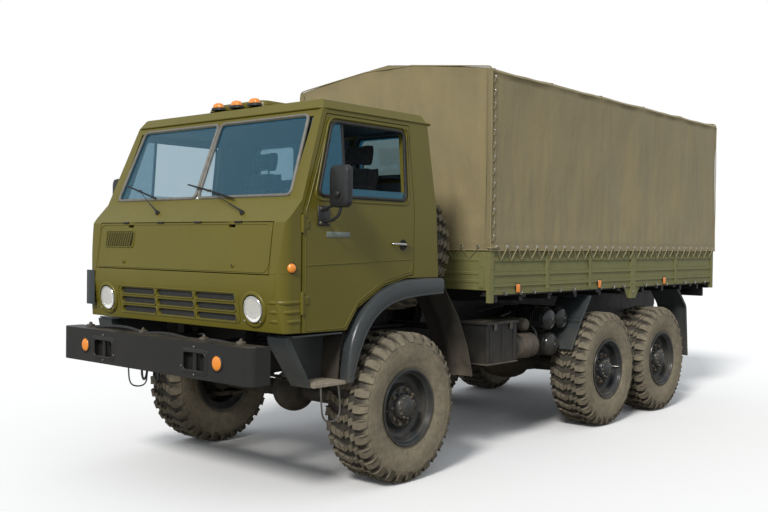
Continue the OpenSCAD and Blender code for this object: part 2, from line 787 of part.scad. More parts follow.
module platform() color(cab_green) from_axle() {
    front = -bed_front - board_t - eps;
    rear = gate_x + board_t + gap;
    block([rear, -board_y1 + board_t, bed_floor_z - 60], [front, board_y1 - board_t, bed_floor_z]);
    for (s = [-1, 1]) side(s) {
        // Long sills on the frame rails
        block([rear, rail_y - 80, rail_top + eps], [front, rail_y, 1421]);
        // Side rail
        block([rear, board_y1 - board_t - 60, 1450], [front, board_y1 - board_t, 1501]);
    }
    // Lugs and pins of the tailgate's hinges
    for (y = gate_hinges) {
        for (e = [-68, 52])
            intersection() {
                block([gate_x - 20, y + e, gate_hinge_z - 10], [rear + 1, y + e + 16, gate_hinge_z + 8]);
                union() {
                    rod([gate_pin_x, y + e, gate_hinge_z], [gate_pin_x, y + e + 16, gate_hinge_z], 10);
                    block([gate_pin_x, y + e, gate_hinge_z - 10], [rear + 1, y + e + 16, gate_hinge_z + 8]);
                }
            }
        rod([gate_pin_x, y - 60, gate_hinge_z], [gate_pin_x, y + 60, gate_hinge_z], gate_pin_r);
    }
    for (i = [0 : 10]) {
        x = front - 120 - i * (front - rear - 240) / 10;
        block([x - 35, -board_y1 + board_t + 2, 1420], [x + 35, board_y1 - board_t - 2, 1501]);
    }
}

// Ribs of a board: height above the floor's underside
rib_heights = [1530, 1634, 1764];
board_low = 1458;

module side_board(s) color(cab_green) from_axle() side(s) {
    front = -bed_front;
    rear = gate_x + board_t + gap;
    y0 = board_y1 - board_t + eps;
    block([rear, y0, board_low], [front, board_y1, board_top_z]);
    for (z = rib_heights)
        block([rear, board_y1 - 1, z], [front, board_y1 + 9, z + 40]);
    block([rear, board_y1 - 1, board_low], [front, board_y1 + 10, board_low + 26]);
    for (p = post_table)
        block([p[0] - p[1], y0, p[2]], [p[0] + p[1], post_y1, board_top_z]);
}
module side_board_left() side_board(1);
module side_board_right() side_board(-1);

module front_board() color(cab_green) from_axle() {
    x1 = -bed_front;
    half = board_y1 - board_t;
    block([x1 - board_t, -half, bed_floor_z - 60], [x1, half, board_top_z + 100]);
}

module tailgate() color(cab_green) from_axle() {
    half = board_y1 - board_t - gap - 50;
    block([gate_x, -half, gate_hinge_z + 12], [gate_x + board_t, half, board_top_z]);
    for (z = rib_heights)
        block([gate_x - 9, -half, z], [gate_x + 1, half, z + 40]);
    difference() {
        for (y = gate_hinges) {
            rod([gate_pin_x, y - 50, gate_hinge_z], [gate_pin_x, y + 50, gate_hinge_z], 14);
            block([gate_x, y - 50, gate_hinge_z], [gate_x + 12, y + 50, gate_hinge_z + 14]);
        }
        for (y = gate_hinges)
            rod([gate_pin_x, y - 51, gate_hinge_z], [gate_pin_x, y + 51, gate_hinge_z], gate_pin_r + fit);
    }
}

// Outline of the covered space in y and z, inset by t
module tilt_outline(t, low) {
    half = body_w / 2 - t;
    polygon([[-half, low], [half, low], [half, eave_z - 0.7 * t], [0, ridge_z - t],
        [-half, eave_z - 0.7 * t]]);
}

bow_places = [for (i = [0 : 5]) -bed_front - 40 - i * (bed_rear - bed_front - 130) / 5];

module tilt_bows() color(cab_green) from_axle() for (x = bow_places)
    along_x(x - 15, x + 15) difference() {
        tilt_outline(tilt_t + 2 * eps + 1, board_top_z + eps);
        tilt_outline(tilt_t + 35, board_top_z - 1);
    }

module tilt() color(canvas_tan) from_axle() {
    tail = gate_x + board_t + 14;
    curtain_half = board_y1 - board_t - 70;
    difference() {
        along_x(gate_x - 8, tilt_front) tilt_outline(0, hem_z);
        along_x(gate_x - 9, tilt_front - tilt_t) tilt_outline(tilt_t, hem_z - 1);
    }
    // Rear curtain, hung inside the tailgate
    along_x(tail, tail + tilt_t) intersection() {
        tilt_outline(tilt_t - 1, board_top_z - 60);
        union() {
            translate([-body_w / 2, board_top_z + 8]) square([body_w, 3000]);
            translate([-curtain_half, 0]) square([2 * curtain_half, 3000]);
        }
    }
}

chassis_frame();
front_bumper();
engine_block();
gearbox();
prop_shafts();
front_springs();
rear_springs();
front_axle();
middle_axle();
rear_axle();
fender_left();
fender_right();
mudguards_left();
mudguards_right();
battery_box();
fuel_tank();
air_tanks();
spare_wheel();
cab_shell();
cab_roof();
front_panel();
windscreen();
dashboard();
seats();
steering_wheel();
headlamps();
platform();
front_board();
side_board_left();
side_board_right();
tilt_bows();
tilt();
pintle_hook();
door_left();
door_right();
mirror_left();
mirror_right();
hood_panel();
tailgate();
knuckle_left();
knuckle_right();
wheel_front_left();
wheel_front_right();
wheel_middle_left();
wheel_middle_right();
wheel_rear_left();
wheel_rear_right();
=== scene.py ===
import bpy
import bmesh
import math
import random
from itertools import product
from mathutils import Matrix, Vector, noise


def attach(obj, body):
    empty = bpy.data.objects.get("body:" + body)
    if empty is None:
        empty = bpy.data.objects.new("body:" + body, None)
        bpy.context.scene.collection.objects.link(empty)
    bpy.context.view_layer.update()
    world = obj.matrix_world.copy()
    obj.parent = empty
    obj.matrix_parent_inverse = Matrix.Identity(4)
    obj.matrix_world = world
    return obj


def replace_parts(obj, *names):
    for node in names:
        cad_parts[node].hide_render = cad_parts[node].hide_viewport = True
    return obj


# Lengths below are in millimetres, in the frame on the ground under the
# front axle: x forward, y to the truck's left, z up. A Form turns them
# into metres in the part's own frame when it becomes a piece.
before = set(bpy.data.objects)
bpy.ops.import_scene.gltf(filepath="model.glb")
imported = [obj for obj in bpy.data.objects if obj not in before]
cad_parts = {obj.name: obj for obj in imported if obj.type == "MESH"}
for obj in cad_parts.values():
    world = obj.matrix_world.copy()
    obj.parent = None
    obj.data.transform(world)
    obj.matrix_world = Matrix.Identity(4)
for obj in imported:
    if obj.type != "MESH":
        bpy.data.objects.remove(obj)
for spare in ("Cube", "Camera", "Light"):
    if spare in bpy.data.objects:
        bpy.data.objects.remove(bpy.data.objects[spare])
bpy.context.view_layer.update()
random.seed(7)

X, Y, Z = Vector((1, 0, 0)), Vector((0, 1, 0)), Vector((0, 0, 1))
SIDES = (("left", 1), ("right", -1))
FRONT_AXLE_X = 2457.15          # in the part's own frame
MIDDLE, REAR = -3340, -4660     # x of the other two axles
WHEEL_Y, TYRE_R = 1150, 605


def metres(p):
    """A point of this script in the part's frame, in metres."""
    return ((p[0] + FRONT_AXLE_X) / 1000, p[1] / 1000, p[2] / 1000)


# ---------------------------------------------------------------- camera

def make_camera():
    """The camera that took the photo, as fitted to it."""
    yaw, pitch, roll = math.radians(221.03), math.radians(-0.78), math.radians(0.64)
    look = Vector((math.cos(yaw) * math.cos(pitch), math.sin(yaw) * math.cos(pitch), math.sin(pitch)))
    right = look.cross(Z).normalized()
    up = right.cross(look)
    right, up = (math.cos(roll) * right + math.sin(roll) * up,
                 math.cos(roll) * up - math.sin(roll) * right)
    turn = Matrix((right, up, -look)).transposed().to_4x4()
    data = bpy.data.cameras.new("camera")
    data.sensor_width = 36
    data.lens = 944 / 768 * data.sensor_width
    data.clip_end = 400
    cam = bpy.data.objects.new("camera", data)
    cam.matrix_world = Matrix.Translation(metres((5835, 6127, 1920))) @ turn
    bpy.context.scene.collection.objects.link(cam)
    bpy.context.scene.camera = cam


# ------------------------------------------------------------- materials

class Shade:
    """A node tree with one Principled shader."""

    def __init__(self, name):
        self.mat = bpy.data.materials.new(name)
        self.mat.use_nodes = True
        self.nodes = self.mat.node_tree.nodes
        self.links = self.mat.node_tree.links
        self.bsdf = self.nodes["Principled BSDF"]
        self.place = self.nodes.new("ShaderNodeTexCoord").outputs["Object"]

    def put(self, **values):
        for socket, value in values.items():
            self.bsdf.inputs[socket.replace("_", " ")].default_value = value

    def link(self, a, b):
        self.links.new(a, b)

    def feed(self, value, socket):
        """Gives a socket a number, a colour or another node's output."""
        if isinstance(value, (int, float)):
            socket.default_value = value
        elif isinstance(value, tuple):
            socket.default_value = (*value, 1)
        else:
            self.link(value, socket)

    def mapped(self, scale):
        node = self.nodes.new("ShaderNodeMapping")
        node.inputs["Scale"].default_value = scale
        self.link(self.place, node.inputs["Vector"])
        return node.outputs["Vector"]

    def noise(self, scale, detail=4, rough=0.55, stretch=(1, 1, 1)):
        node = self.nodes.new("ShaderNodeTexNoise")
        node.inputs["Scale"].default_value = scale
        node.inputs["Detail"].default_value = detail
        node.inputs["Roughness"].default_value = rough
        self.link(self.mapped(stretch), node.inputs["Vector"])
        return node.outputs["Fac"]

    def ramp(self, value, low, high, out_low=0.0, out_high=1.0):
        """Stretches low..high to out_low..out_high, clamped."""
        node = self.nodes.new("ShaderNodeMapRange")
        node.clamp = True
        self.link(value, node.inputs["Value"])
        for name, v in (("From Min", low), ("From Max", high), ("To Min", out_low), ("To Max", out_high)):
            node.inputs[name].default_value = v
        return node.outputs["Result"]

    def math(self, kind, a, b):
        node = self.nodes.new("ShaderNodeMath")
        node.operation = kind
        self.feed(a, node.inputs[0])
        self.feed(b, node.inputs[1])
        return node.outputs[0]

    def mix(self, factor, a, b):
        node = self.nodes.new("ShaderNodeMix")
        node.data_type = "RGBA"
        for i, value in ((0, factor), (6, a), (7, b)):
            self.feed(value, node.inputs[i])
        return node.outputs[2]

    def z_of(self, output):
        """Z of the shaded point's Position or Normal."""
        geo = self.nodes.new("ShaderNodeNewGeometry")
        xyz = self.nodes.new("ShaderNodeSeparateXYZ")
        self.link(geo.outputs[output], xyz.inputs[0])
        return xyz.outputs["Z"]

    def attribute(self, name):
        node = self.nodes.new("ShaderNodeAttribute")
        node.attribute_name = name
        return node.outputs["Fac"]

    def bump(self, value, strength, distance):
        node = self.nodes.new("ShaderNodeBump")
        node.inputs["Strength"].default_value = strength
        node.inputs["Distance"].default_value = distance
        self.link(value, node.inputs["Height"])
        self.link(node.outputs["Normal"], self.bsdf.inputs["Normal"])
        return node

    def color(self, value):
        self.link(value, self.bsdf.inputs["Base Color"])

    def rough(self, value):
        self.link(value, self.bsdf.inputs["Roughness"])


DUST = (0.27, 0.215, 0.145)


def painted(name, base, shade, rough=0.42, spread=0.12, coat=0.0, dust=0.5, dust_top=1.1, grain=0.15,
        dust_up=0.25):
    """Paint with soft patches, fine specks, and dust low down and on upper faces."""
    s = Shade(name)
    patches = s.ramp(s.noise(1.7, 5, 0.6), 0.35, 0.68)
    tone = s.mix(patches, base, shade)
    specks = s.ramp(s.noise(60, 3, 0.6), 0.58, 0.78, 0, 0.22)
    tone = s.mix(specks, tone, tuple(c * 0.6 for c in base))
    low = s.ramp(s.z_of("Position"), 0.3, dust_top, dust, 0)
    cloud = s.ramp(s.noise(5, 6, 0.65), 0.3, 0.75)
    powder = s.math("MULTIPLY", low, cloud)
    lying = s.math("MULTIPLY", s.ramp(s.z_of("Normal"), 0.55, 1, 0, dust_up), s.ramp(s.noise(9, 5), 0.35, 0.7))
    powder = s.math("MAXIMUM", powder, lying)
    s.color(s.mix(powder, tone, DUST))
    worn = s.ramp(s.noise(11, 6, 0.7), 0.3, 0.7, rough - spread, rough + spread)
    s.rough(s.math("MAXIMUM", worn, s.ramp(powder, 0, 0.5, 0, 0.85)))
    s.put(Specular_IOR_Level=0.4, Coat_Weight=coat, Coat_Roughness=0.18)
    s.bump(s.noise(420, 2), grain, 0.0006)
    return s.mat


def plain(name, base, shade, rough=0.5, spread=0.1, metallic=0.0, scale=30, grain=0.3, size=300):
    """Moulded or cast stuff: two tones and a fine grain."""
    s = Shade(name)
    s.color(s.mix(s.ramp(s.noise(scale, 5), 0.35, 0.7), base, shade))
    s.rough(s.ramp(s.noise(scale * 2, 4), 0.3, 0.7, rough - spread, rough + spread))
    s.put(Metallic=metallic)
    s.bump(s.noise(size, 3), grain, 0.0008)
    return s.mat


def rubber_tyre():
    """Black rubber under dry mud; each point's dust attribute says how much."""
    s = Shade("tyre_rubber_dusty")
    dust = s.attribute("dust")
    cloud = s.ramp(s.noise(9, 6, 0.65), 0.28, 0.72, 0.72, 1.0)
    fine = s.ramp(s.noise(70, 4, 0.7), 0.3, 0.7, 0.75, 1.0)
    amount = s.math("MULTIPLY", s.math("MULTIPLY", dust, cloud), fine)
    dirt = s.mix(s.ramp(s.noise(22, 5), 0.35, 0.65), (0.36, 0.305, 0.205), (0.27, 0.23, 0.158))
    s.color(s.mix(amount, (0.022, 0.021, 0.020), dirt))
    s.rough(s.ramp(s.noise(40, 3), 0.3, 0.7, 0.72, 0.95))
    s.bump(s.noise(130, 5, 0.65), 0.35, 0.003)
    return s.mat


def canvas_cloth():
    """Faded, streaked canvas with a fine weave and creases."""
    s = Shade("canvas_cloth")
    tone = (0.315, 0.254, 0.122)
    # broad fading, rain streaks, stains, worn seams, specks
    for amount, colour in (
            (s.ramp(s.noise(0.9, 4, 0.5), 0.3, 0.7), (0.268, 0.220, 0.108)),
            (s.ramp(s.noise(5.5, 5, 0.6, (1, 1, 0.14)), 0.45, 0.75, 0, 0.5), (0.215, 0.180, 0.090)),
            (s.ramp(s.noise(2.6, 7, 0.7, (1, 1, 0.6)), 0.52, 0.78, 0, 0.35), (0.350, 0.275, 0.130)),
            (s.math("MULTIPLY", s.attribute("seam"), 0.6), (0.140, 0.115, 0.060)),
            (s.ramp(s.noise(240, 2, 0.7), 0.35, 0.7, 0, 0.35), (0.200, 0.165, 0.082))):
        tone = s.mix(amount, tone, colour)
    s.color(tone)
    s.put(Roughness=0.88, Sheen_Weight=0.12, Sheen_Roughness=0.6)
    threads = []
    for direction in ("X", "Z"):
        wave = s.nodes.new("ShaderNodeTexWave")
        wave.bands_direction = direction
        wave.inputs["Scale"].default_value = 170
        wave.inputs["Distortion"].default_value = 1.2
        s.link(s.place, wave.inputs["Vector"])
        threads.append(wave.outputs["Fac"])
    weave = s.math("ADD", s.math("MULTIPLY", threads[0], 0.5), s.math("MULTIPLY", threads[1], 0.5))
    creases = s.noise(7, 6, 0.6, (1.3, 1.3, 0.5))
    first = s.bump(weave, 0.25, 0.0008)
    second = s.bump(creases, 0.5, 0.022)
    s.link(first.outputs["Normal"], second.inputs["Normal"])
    return s.mat


def seat_cloth():
    s = Shade("seat_cloth")
    s.color(s.mix(s.ramp(s.noise(45, 4), 0.35, 0.7), (0.030, 0.031, 0.033), (0.050, 0.050, 0.050)))
    s.put(Roughness=0.8, Sheen_Weight=0.2)
    s.bump(s.noise(500, 3), 0.4, 0.001)
    return s.mat


def glass(name, tint, ior, shine, painted_glow):
    """Clear pane with a thin, uneven film of dust, the sky's sheen tinted in its real reflections, and a painted glow:
    an even emission that stands in for more sheen and for light coming through it.
    """
    s = Shade(name)
    film = s.ramp(s.noise(6, 6, 0.65), 0.45, 0.8, 0, 0.07)
    s.color(s.mix(film, tint, (0.6, 0.58, 0.52)))
    s.rough(s.ramp(s.noise(18, 4), 0.4, 0.8, 0, 0.02))
    s.put(Transmission_Weight=1.0, IOR=ior, Specular_Tint=(*shine, 1))
    # painted glow: an even emission standing in for the sheen on the glass and the light through it
    s.put(Emission_Color=(*painted_glow, 1), Emission_Strength=1.0)
    return s.mat


def lens(name, tint):
    """Ribbed lamp lens that glows a little."""
    s = Shade(name)
    rings = s.nodes.new("ShaderNodeTexWave")
    rings.wave_type = "BANDS"
    rings.bands_direction = "Z"
    rings.inputs["Scale"].default_value = 45
    s.link(s.place, rings.inputs["Vector"])
    s.color(s.mix(s.ramp(rings.outputs["Fac"], 0.2, 0.8), tint, tuple(c * 0.7 for c in tint)))
    s.put(Roughness=0.12, Coat_Weight=0.6, Emission_Color=(*tint, 1), Emission_Strength=0.12)
    s.bump(rings.outputs["Fac"], 0.25, 0.002)
    return s.mat


def planks():
    s = Shade("floor_planks")
    grain = s.noise(4, 8, 0.6, (0.5, 14, 14))
    s.color(s.mix(s.ramp(grain, 0.3, 0.7), (0.19, 0.13, 0.07), (0.10, 0.07, 0.04)))
    s.put(Roughness=0.8)
    s.bump(grain, 0.4, 0.002)
    return s.mat


# painted: base, shade, rough, spread, coat, dust, dust_top, grain, dust_up
# plain: base, shade, rough, spread, metallic, scale, grain, size
MAT = {
    "cab": painted("cab_paint_olive", (0.140, 0.118, 0.010), (0.127, 0.107, 0.008), 0.38, 0.06, 0.12, 0.14,
        1.35, 0.08, 0.06),
    "bed": painted("bed_paint_olive", (0.215, 0.208, 0.078), (0.185, 0.180, 0.066), 0.5, 0.1, 0.0, 0.2, 1.5,
        0.15, 0.12),
    "black": painted("chassis_black", (0.016, 0.016, 0.016), (0.026, 0.025, 0.024), 0.45, 0.15, 0.0, 0.55, 1.1,
        0.3, 0.35),
    "cast": painted("cast_iron_dusty", (0.022, 0.021, 0.020), (0.034, 0.031, 0.028), 0.6, 0.15, 0.0, 0.75, 1.0,
        0.8, 0.45),
    "bumper": painted("bumper_grey", (0.022, 0.021, 0.019), (0.017, 0.018, 0.018), 0.42, 0.1, 0.0, 0.08, 1.1,
        0.25, 0.25),
    "flare": painted("flare_blue_grey", (0.036, 0.044, 0.047), (0.046, 0.054, 0.056), 0.34, 0.08, 0.2, 0.45,
        1.3, 0.2, 0.12),
    "muddy": painted("muddy_guard", (0.030, 0.028, 0.026), (0.060, 0.051, 0.040), 0.8, 0.1, 0.0, 0.9, 1.25, 0.6,
        0.3),
    "dusty": painted("dusty_metal", (0.050, 0.046, 0.042), (0.085, 0.075, 0.062), 0.7, 0.1, 0.0, 0.9, 1.6, 0.5,
        0.8),
    "pale": plain("pale_tread_plate", (0.40, 0.35, 0.27), (0.26, 0.22, 0.17), 0.7, 0.1, 0.2, 60, 0.5, 200),
    "tank": painted("tank_gloss_black", (0.012, 0.013, 0.014), (0.020, 0.021, 0.022), 0.22, 0.06, 0.5, 0.4, 1.1,
        0.1, 0.3),
    "rim": painted("rim_dark", (0.018, 0.024, 0.029), (0.028, 0.033, 0.037), 0.32, 0.1, 0.2, 0.30, 1.3, 0.25,
        0.15),
    "nut": plain("nut_steel", (0.20, 0.17, 0.13), (0.09, 0.075, 0.06), 0.5, 0.12, 0.4, 60),
    "chrome": plain("bright_metal", (0.75, 0.75, 0.74), (0.66, 0.66, 0.66), 0.14, 0.05, 1.0, 40, 0.05),
    "steel": plain("worn_steel", (0.30, 0.29, 0.27), (0.18, 0.17, 0.15), 0.4, 0.12, 0.9, 40),
    "rubber": plain("black_rubber", (0.014, 0.014, 0.014), (0.026, 0.026, 0.025), 0.6, 0.1, 0.0, 25),
    "seal": plain("grey_seal", (0.20, 0.19, 0.165), (0.14, 0.135, 0.12), 0.5, 0.1, 0.0, 25),
    "plastic": plain("black_plastic", (0.016, 0.017, 0.018), (0.026, 0.027, 0.028), 0.42, 0.1, 0.0, 40, 0.35,
        500),
    "interior": plain("interior_plastic", (0.10, 0.13, 0.14), (0.075, 0.10, 0.11), 0.6, 0.1, 0.0, 20, 0.3, 300),
    "rope": plain("rope", (0.34, 0.29, 0.16), (0.22, 0.19, 0.11), 0.9, 0.05, 0.0, 200, 0.8, 600),
    "tyre": rubber_tyre(),
    "canvas": canvas_cloth(),
    "seat": seat_cloth(),
    # the last colour of each glass is a painted glow: bluish sheen on the windows, grey light in the lamp lenses
    "glass": glass("window_glass", (0.33, 0.41, 0.44), 1.5, (0.45, 0.85, 1.0), (0.004, 0.026, 0.044)),
    "lens": glass("lamp_lens", (0.97, 0.97, 0.95), 1.3, (1.0, 1.0, 1.0), (0.10, 0.10, 0.095)),
    "amber": lens("amber_lens", (0.95, 0.30, 0.03)),
    "red": lens("red_lens", (0.55, 0.02, 0.01)),
    "plate": plain("blank_plate", (0.22, 0.25, 0.22), (0.16, 0.18, 0.16), 0.5, 0.1, 0.3, 60),
    "planks": planks(),
}


# -------------------------------------------------------------- geometry

class Form:
    """Shells collected in millimetres; piece() makes the object."""

    def __init__(self):
        self.v, self.f, self.ink, self.dust = [], [], [], []
        self.use, self.level = 0, 1.0    # material and dust of what comes next

    def add(self, verts, faces):
        n = len(self.v)
        self.v += [Vector(p) for p in verts]
        self.f += [[n + i for i in f] for f in faces]
        self.ink += [self.use] * len(faces)
        self.dust += [self.level] * len(verts)

    def box(self, lo, hi, c=3.0):
        """Box with chamfered edges between two corners."""
        lo, hi = zip(*(sorted(pair) for pair in zip(lo, hi)))
        c = min(c, 0.4 * min(h - l for l, h in zip(lo, hi)))
        verts = []
        for corner in product((0, 1), repeat=3):
            for axis in range(3):
                verts.append([(hi[a] if corner[a] else lo[a]) + (0 if a == axis else -c if corner[a] else c)
                              for a in range(3)])

        def at(axis, side, p, q, own):
            """Vertex `own` of the corner with side on this axis and p, q on the next two."""
            corner = [0, 0, 0]
            corner[axis], corner[(axis + 1) % 3], corner[(axis + 2) % 3] = side, p, q
            return 3 * (4 * corner[0] + 2 * corner[1] + corner[2]) + own
        faces = []
        for axis in range(3):
            b, d = (axis + 1) % 3, (axis + 2) % 3
            for side in (0, 1):
                faces.append([at(axis, side, p, q, axis) for p, q in ((0, 0), (1, 0), (1, 1), (0, 1))])
            for p, q in product((0, 1), repeat=2):
                faces.append([at(axis, 0, p, q, b), at(axis, 1, p, q, b), at(axis, 1, p, q, d),
                    at(axis, 0, p, q, d)])
        faces += [[3 * n, 3 * n + 1, 3 * n + 2] for n in range(8)]
        self.add(verts, faces)

    def rings(self, rings, loop=False, caps=True):
        """Skin over closed rings of points; loop joins the last to the first."""
        n, m = len(rings), len(rings[0])
        verts = [p for ring in rings for p in ring]
        faces = []
        for i in range(n if loop else n - 1):
            for j in range(m):
                a, b = i * m, ((i + 1) % n) * m
                faces.append([a + j, a + (j + 1) % m, b + (j + 1) % m, b + j])
        if caps and not loop:
            faces += [list(range(m))[::-1], list(range((n - 1) * m, n * m))]
        self.add(verts, faces)

    def lathe(self, profile, origin, axis, seg=32, loop=False):
        """Turned shape; profile is (height along the axis, radius)."""
        axis = Vector(axis).normalized()
        u = axis.orthogonal().normalized()
        if abs(axis.z) < 0.9:
            u = Z.cross(axis).normalized()
        w = axis.cross(u)
        o = Vector(origin)
        turn = [u * math.cos(math.tau * i / seg) + w * math.sin(math.tau * i / seg) for i in range(seg)]
        self.rings([[o + axis * h + d * max(r, 0.05) for d in turn] for h, r in profile], loop=loop,
            caps=not loop)

    def tube(self, points, r, sides=8, loop=False, smooth=0):
        """Round bar along points; r may be a list spread over its length."""
        pts = [Vector(p) for p in points]
        for _ in range(smooth):
            pts = soften(pts, loop)
        n = len(pts)
        rings, side = [], None
        for i, p in enumerate(pts):
            before = pts[i - 1] if loop or i else p
            after = pts[(i + 1) % n] if loop or i < n - 1 else p
            d = (after - before).normalized()
            if side is None:
                side = d.orthogonal().normalized()
            side = (side - d * side.dot(d)).normalized()
            other = d.cross(side)
            radius = along(r, i / (n - 1)) if isinstance(r, list) else r
            rings.append([p + (side * math.cos(t) + other * math.sin(t)) * radius
                          for t in (math.tau * k / sides for k in range(sides))])
        self.rings(rings, loop=loop)

    def nut(self, origin, axis, across=28, high=16):
        r = across / math.sqrt(3)
        self.lathe([(0, r * 1.25), (3, r * 1.25), (3.5, r * 1.1)], origin, axis, 12)
        o = Vector(origin) + Vector(axis).normalized() * 2
        self.lathe([(0, r), (high - 4, r), (high, r * 0.8)], o, axis, 6)
        self.lathe([(high, r * 0.42), (high + 5, r * 0.42), (high + 7, r * 0.3)], o, axis, 8)

    def bolt(self, origin, axis, r=9, high=6):
        self.lathe([(-1, r), (high * 0.6, r), (high, r * 0.7)], origin, axis, 8)

    def torus(self, origin, axis, big, small, seg=40, sides=10):
        profile = [(small * math.sin(t), big + small * math.cos(t))
            for t in (math.tau * i / sides for i in range(sides))]
        self.lathe(profile, origin, axis, seg, loop=True)

    def turn(self, matrix, since=0):
        for i in range(since, len(self.v)):
            self.v[i] = matrix @ self.v[i]

    def mesh(self, name, angle=35, local=False, solid=True):
        """Mesh in the part's frame, or in its own where it is placed later."""
        mesh = bpy.data.meshes.new(name)
        points = [p / 1000 if local else metres(p) for p in self.v]
        mesh.from_pydata(points, [], self.f)
        mesh.polygons.foreach_set("material_index", self.ink)
        layer = mesh.attributes.new("dust", "FLOAT", "POINT")
        layer.data.foreach_set("value", self.dust)
        bm = bmesh.new()
        bm.from_mesh(mesh)
        if solid:
            bmesh.ops.recalc_face_normals(bm, faces=bm.faces)
        for face in bm.faces:
            face.smooth = True
        limit = math.radians(angle)
        for edge in bm.edges:
            edge.smooth = edge.calc_face_angle(math.pi) < limit
        bm.to_mesh(mesh)
        bm.free()
        return mesh

    def piece(self, name, body, *mats, slot=None, angle=35, solid=True):
        return place(self.mesh(name, angle, solid=solid), name, body, mats)


def place(mesh, name, body, mats, at=None):
    """Object that rides on a body; at is its matrix."""
    if not mesh.materials:
        for m in mats:
            mesh.materials.append(MAT[m])
    obj = bpy.data.objects.new(name, mesh)
    bpy.context.scene.collection.objects.link(obj)
    if at is not None:
        obj.matrix_world = at
    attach(obj, body)
    return obj


def along(values, t):
    """Value a share t of the way along a list."""
    k = min(int(t * (len(values) - 1)), len(values) - 2)
    return values[k] + (values[k + 1] - values[k]) * (t * (len(values) - 1) - k)


def soften(pts, loop=False):
    """One corner-cutting pass along a line of points."""
    out = [] if loop else [pts[0]]
    n = len(pts)
    for i in range(n if loop else n - 1):
        a, b = pts[i], pts[(i + 1) % n]
        out += [a.lerp(b, 0.25), a.lerp(b, 0.75)]
    if not loop:
        out.append(pts[-1])
    return out


def round_rect(w, h, r, n=6, mid=(0, 0)):
    pts = []
    for quarter, (sx, sy) in enumerate(((1, 1), (-1, 1), (-1, -1), (1, -1))):
        for i in range(n + 1):
            a = math.radians(90 * quarter + 90 * i / n)
            pts.append((mid[0] + sx * (w / 2 - r) + r * math.cos(a),
                mid[1] + sy * (h / 2 - r) + r * math.sin(a)))
    return pts


def round_corners(points, r, n=5, loop=True):
    """Rounds a polygon's corners; each point may be (x, y) or (x, y, z)."""
    pts = [Vector(p) for p in points]
    out = []
    for i, p in enumerate(pts):
        if not loop and i in (0, len(pts) - 1):
            out.append(p)
            continue
        a, b = pts[i - 1] - p, pts[(i + 1) % len(pts)] - p
        cut = min(r, 0.45 * a.length, 0.45 * b.length)
        s, e = p + a.normalized() * cut, p + b.normalized() * cut
        for k in range(n + 1):
            t = k / n
            out.append((1 - t) ** 2 * s + 2 * t * (1 - t) * p + t * t * e)
    return out


def lerp(table, x):
    """Value at x along a table of (x, value)."""
    if x <= table[0][0]:
        return table[0][1]
    for (x0, v0), (x1, v1) in zip(table, table[1:]):
        if x <= x1:
            return v0 + (v1 - v0) * (x - x0) / (x1 - x0)
    return table[-1][1]


# ---------------------------------------------------------------- wheels

# Half section of the tyre from its bead to the middle: (radius, half width)
TYRE = [(304, 172), (318, 176), (350, 188), (400, 200), (440, 204.5), (480, 205), (512, 202),
        (536, 196), (552, 186), (564, 168), (570, 140), (573, 100), (575, 50), (576, 0)]
PITCHES = 30    # lugs round each shoulder


def tyre_mesh():
    """Carcass of revolution with three rows of blocks and two of lugs."""
    f = Form()
    seg = 120
    half = []
    for (r0, h0), (r1, h1) in zip(TYRE, TYRE[1:]):
        half += [(h0, r0), ((h0 + h1) / 2, (r0 + r1) / 2)]
    half.append((TYRE[-1][1], TYRE[-1][0]))
    profile = [(-h, r) for h, r in half] + [(h, r) for h, r in reversed(half[:-1])]
    f.lathe(profile + [(160, 306), (-160, 306)], (0, 0, 0), Y, seg, loop=True)
    # less dust, hence darker, towards the groove floors between the lugs
    for i, p in enumerate(f.v):
        f.dust[i] = lerp([(300, 0.75), (340, 0.95), (530, 0.9), (552, 0.45), (566, 0.16)], math.hypot(p.x, p.z))
    # Fine rings on the sidewall
    for s in (-1, 1):
        for r, h, level in ((330, 180.5, 0.8), (342, 185, 1), (500, 203.5, 1), (512, 202, 0.8), (526, 199, 1)):
            f.level = level
            f.torus((0, s * (h - 1.2), 0), Y, r, 3.0, seg, 6)
    step = math.tau / PITCHES
    for i in range(PITCHES):
        a = i * step
        for s in (-1, 1):
            off = a + (0 if s > 0 else step / 2)
            shoulder_lug(f, off, s, i)
            # the two rows inboard of the lugs
            for y, shift, wide, long in ((94, 0.10, 46, 62), (44, 0.28, 44, 58)):
                block(f, off + shift * step * s + random.uniform(-1, 1) * 0.003, s * y, wide, long, s)
        block(f, a + 0.25 * step, 0, 34, 46, 1)
    return f.mesh("tyre", 32, local=True)


def polar(r, a, y):
    return Vector((r * math.cos(a), y, r * math.sin(a)))


def lug(f, sections, levels):
    """sections: rings of (radius, angle, y) from the root to the worn top."""
    start = len(f.v)
    f.rings([[polar(*p) for p in ring] for ring in sections])
    m = len(sections[0])
    for k, level in enumerate(levels):
        for j in range(m):
            f.dust[start + k * m + j] = level * random.uniform(0.85, 1.1)


def shoulder_lug(f, a, s, i):
    """Big lug over the shoulder, every second one reaching further down."""
    wide = 0.060
    foot = 528 if i % 2 else 516
    line = [(601, 118), (603.5, 136), (602, 156), (594, 176), (574, 194), (548, 203), (foot, 205.5)]
    deep = [(570, 116), (568, 134), (562, 152), (554, 170), (544, 184), (530, 194), (foot + 2, 199)]
    rings = []
    for depth, grown in ((0.0, 1.12), (0.80, 1.0), (1.0, 0.86)):
        edge = []
        for k, ((r1, y1), (r0, y0)) in enumerate(zip(line, deep)):
            r, y = r0 + (r1 - r0) * depth, y0 + (y1 - y0) * depth
            half = wide * grown * (0.80 + 0.28 * min(1, k / 3) - 0.05 * max(0, k - 4))
            lean = 0.016 * (1 - k / 6) * s
            edge.append((r, a - half - lean, a + half - lean, s * y))
        rings.append([(r, lo, y) for r, lo, hi, y in edge] + [(r, hi, y) for r, lo, hi, y in reversed(edge)])
    # less dust, hence darker, towards the lug's root
    lug(f, rings, (0.10, 0.60, 0.78))


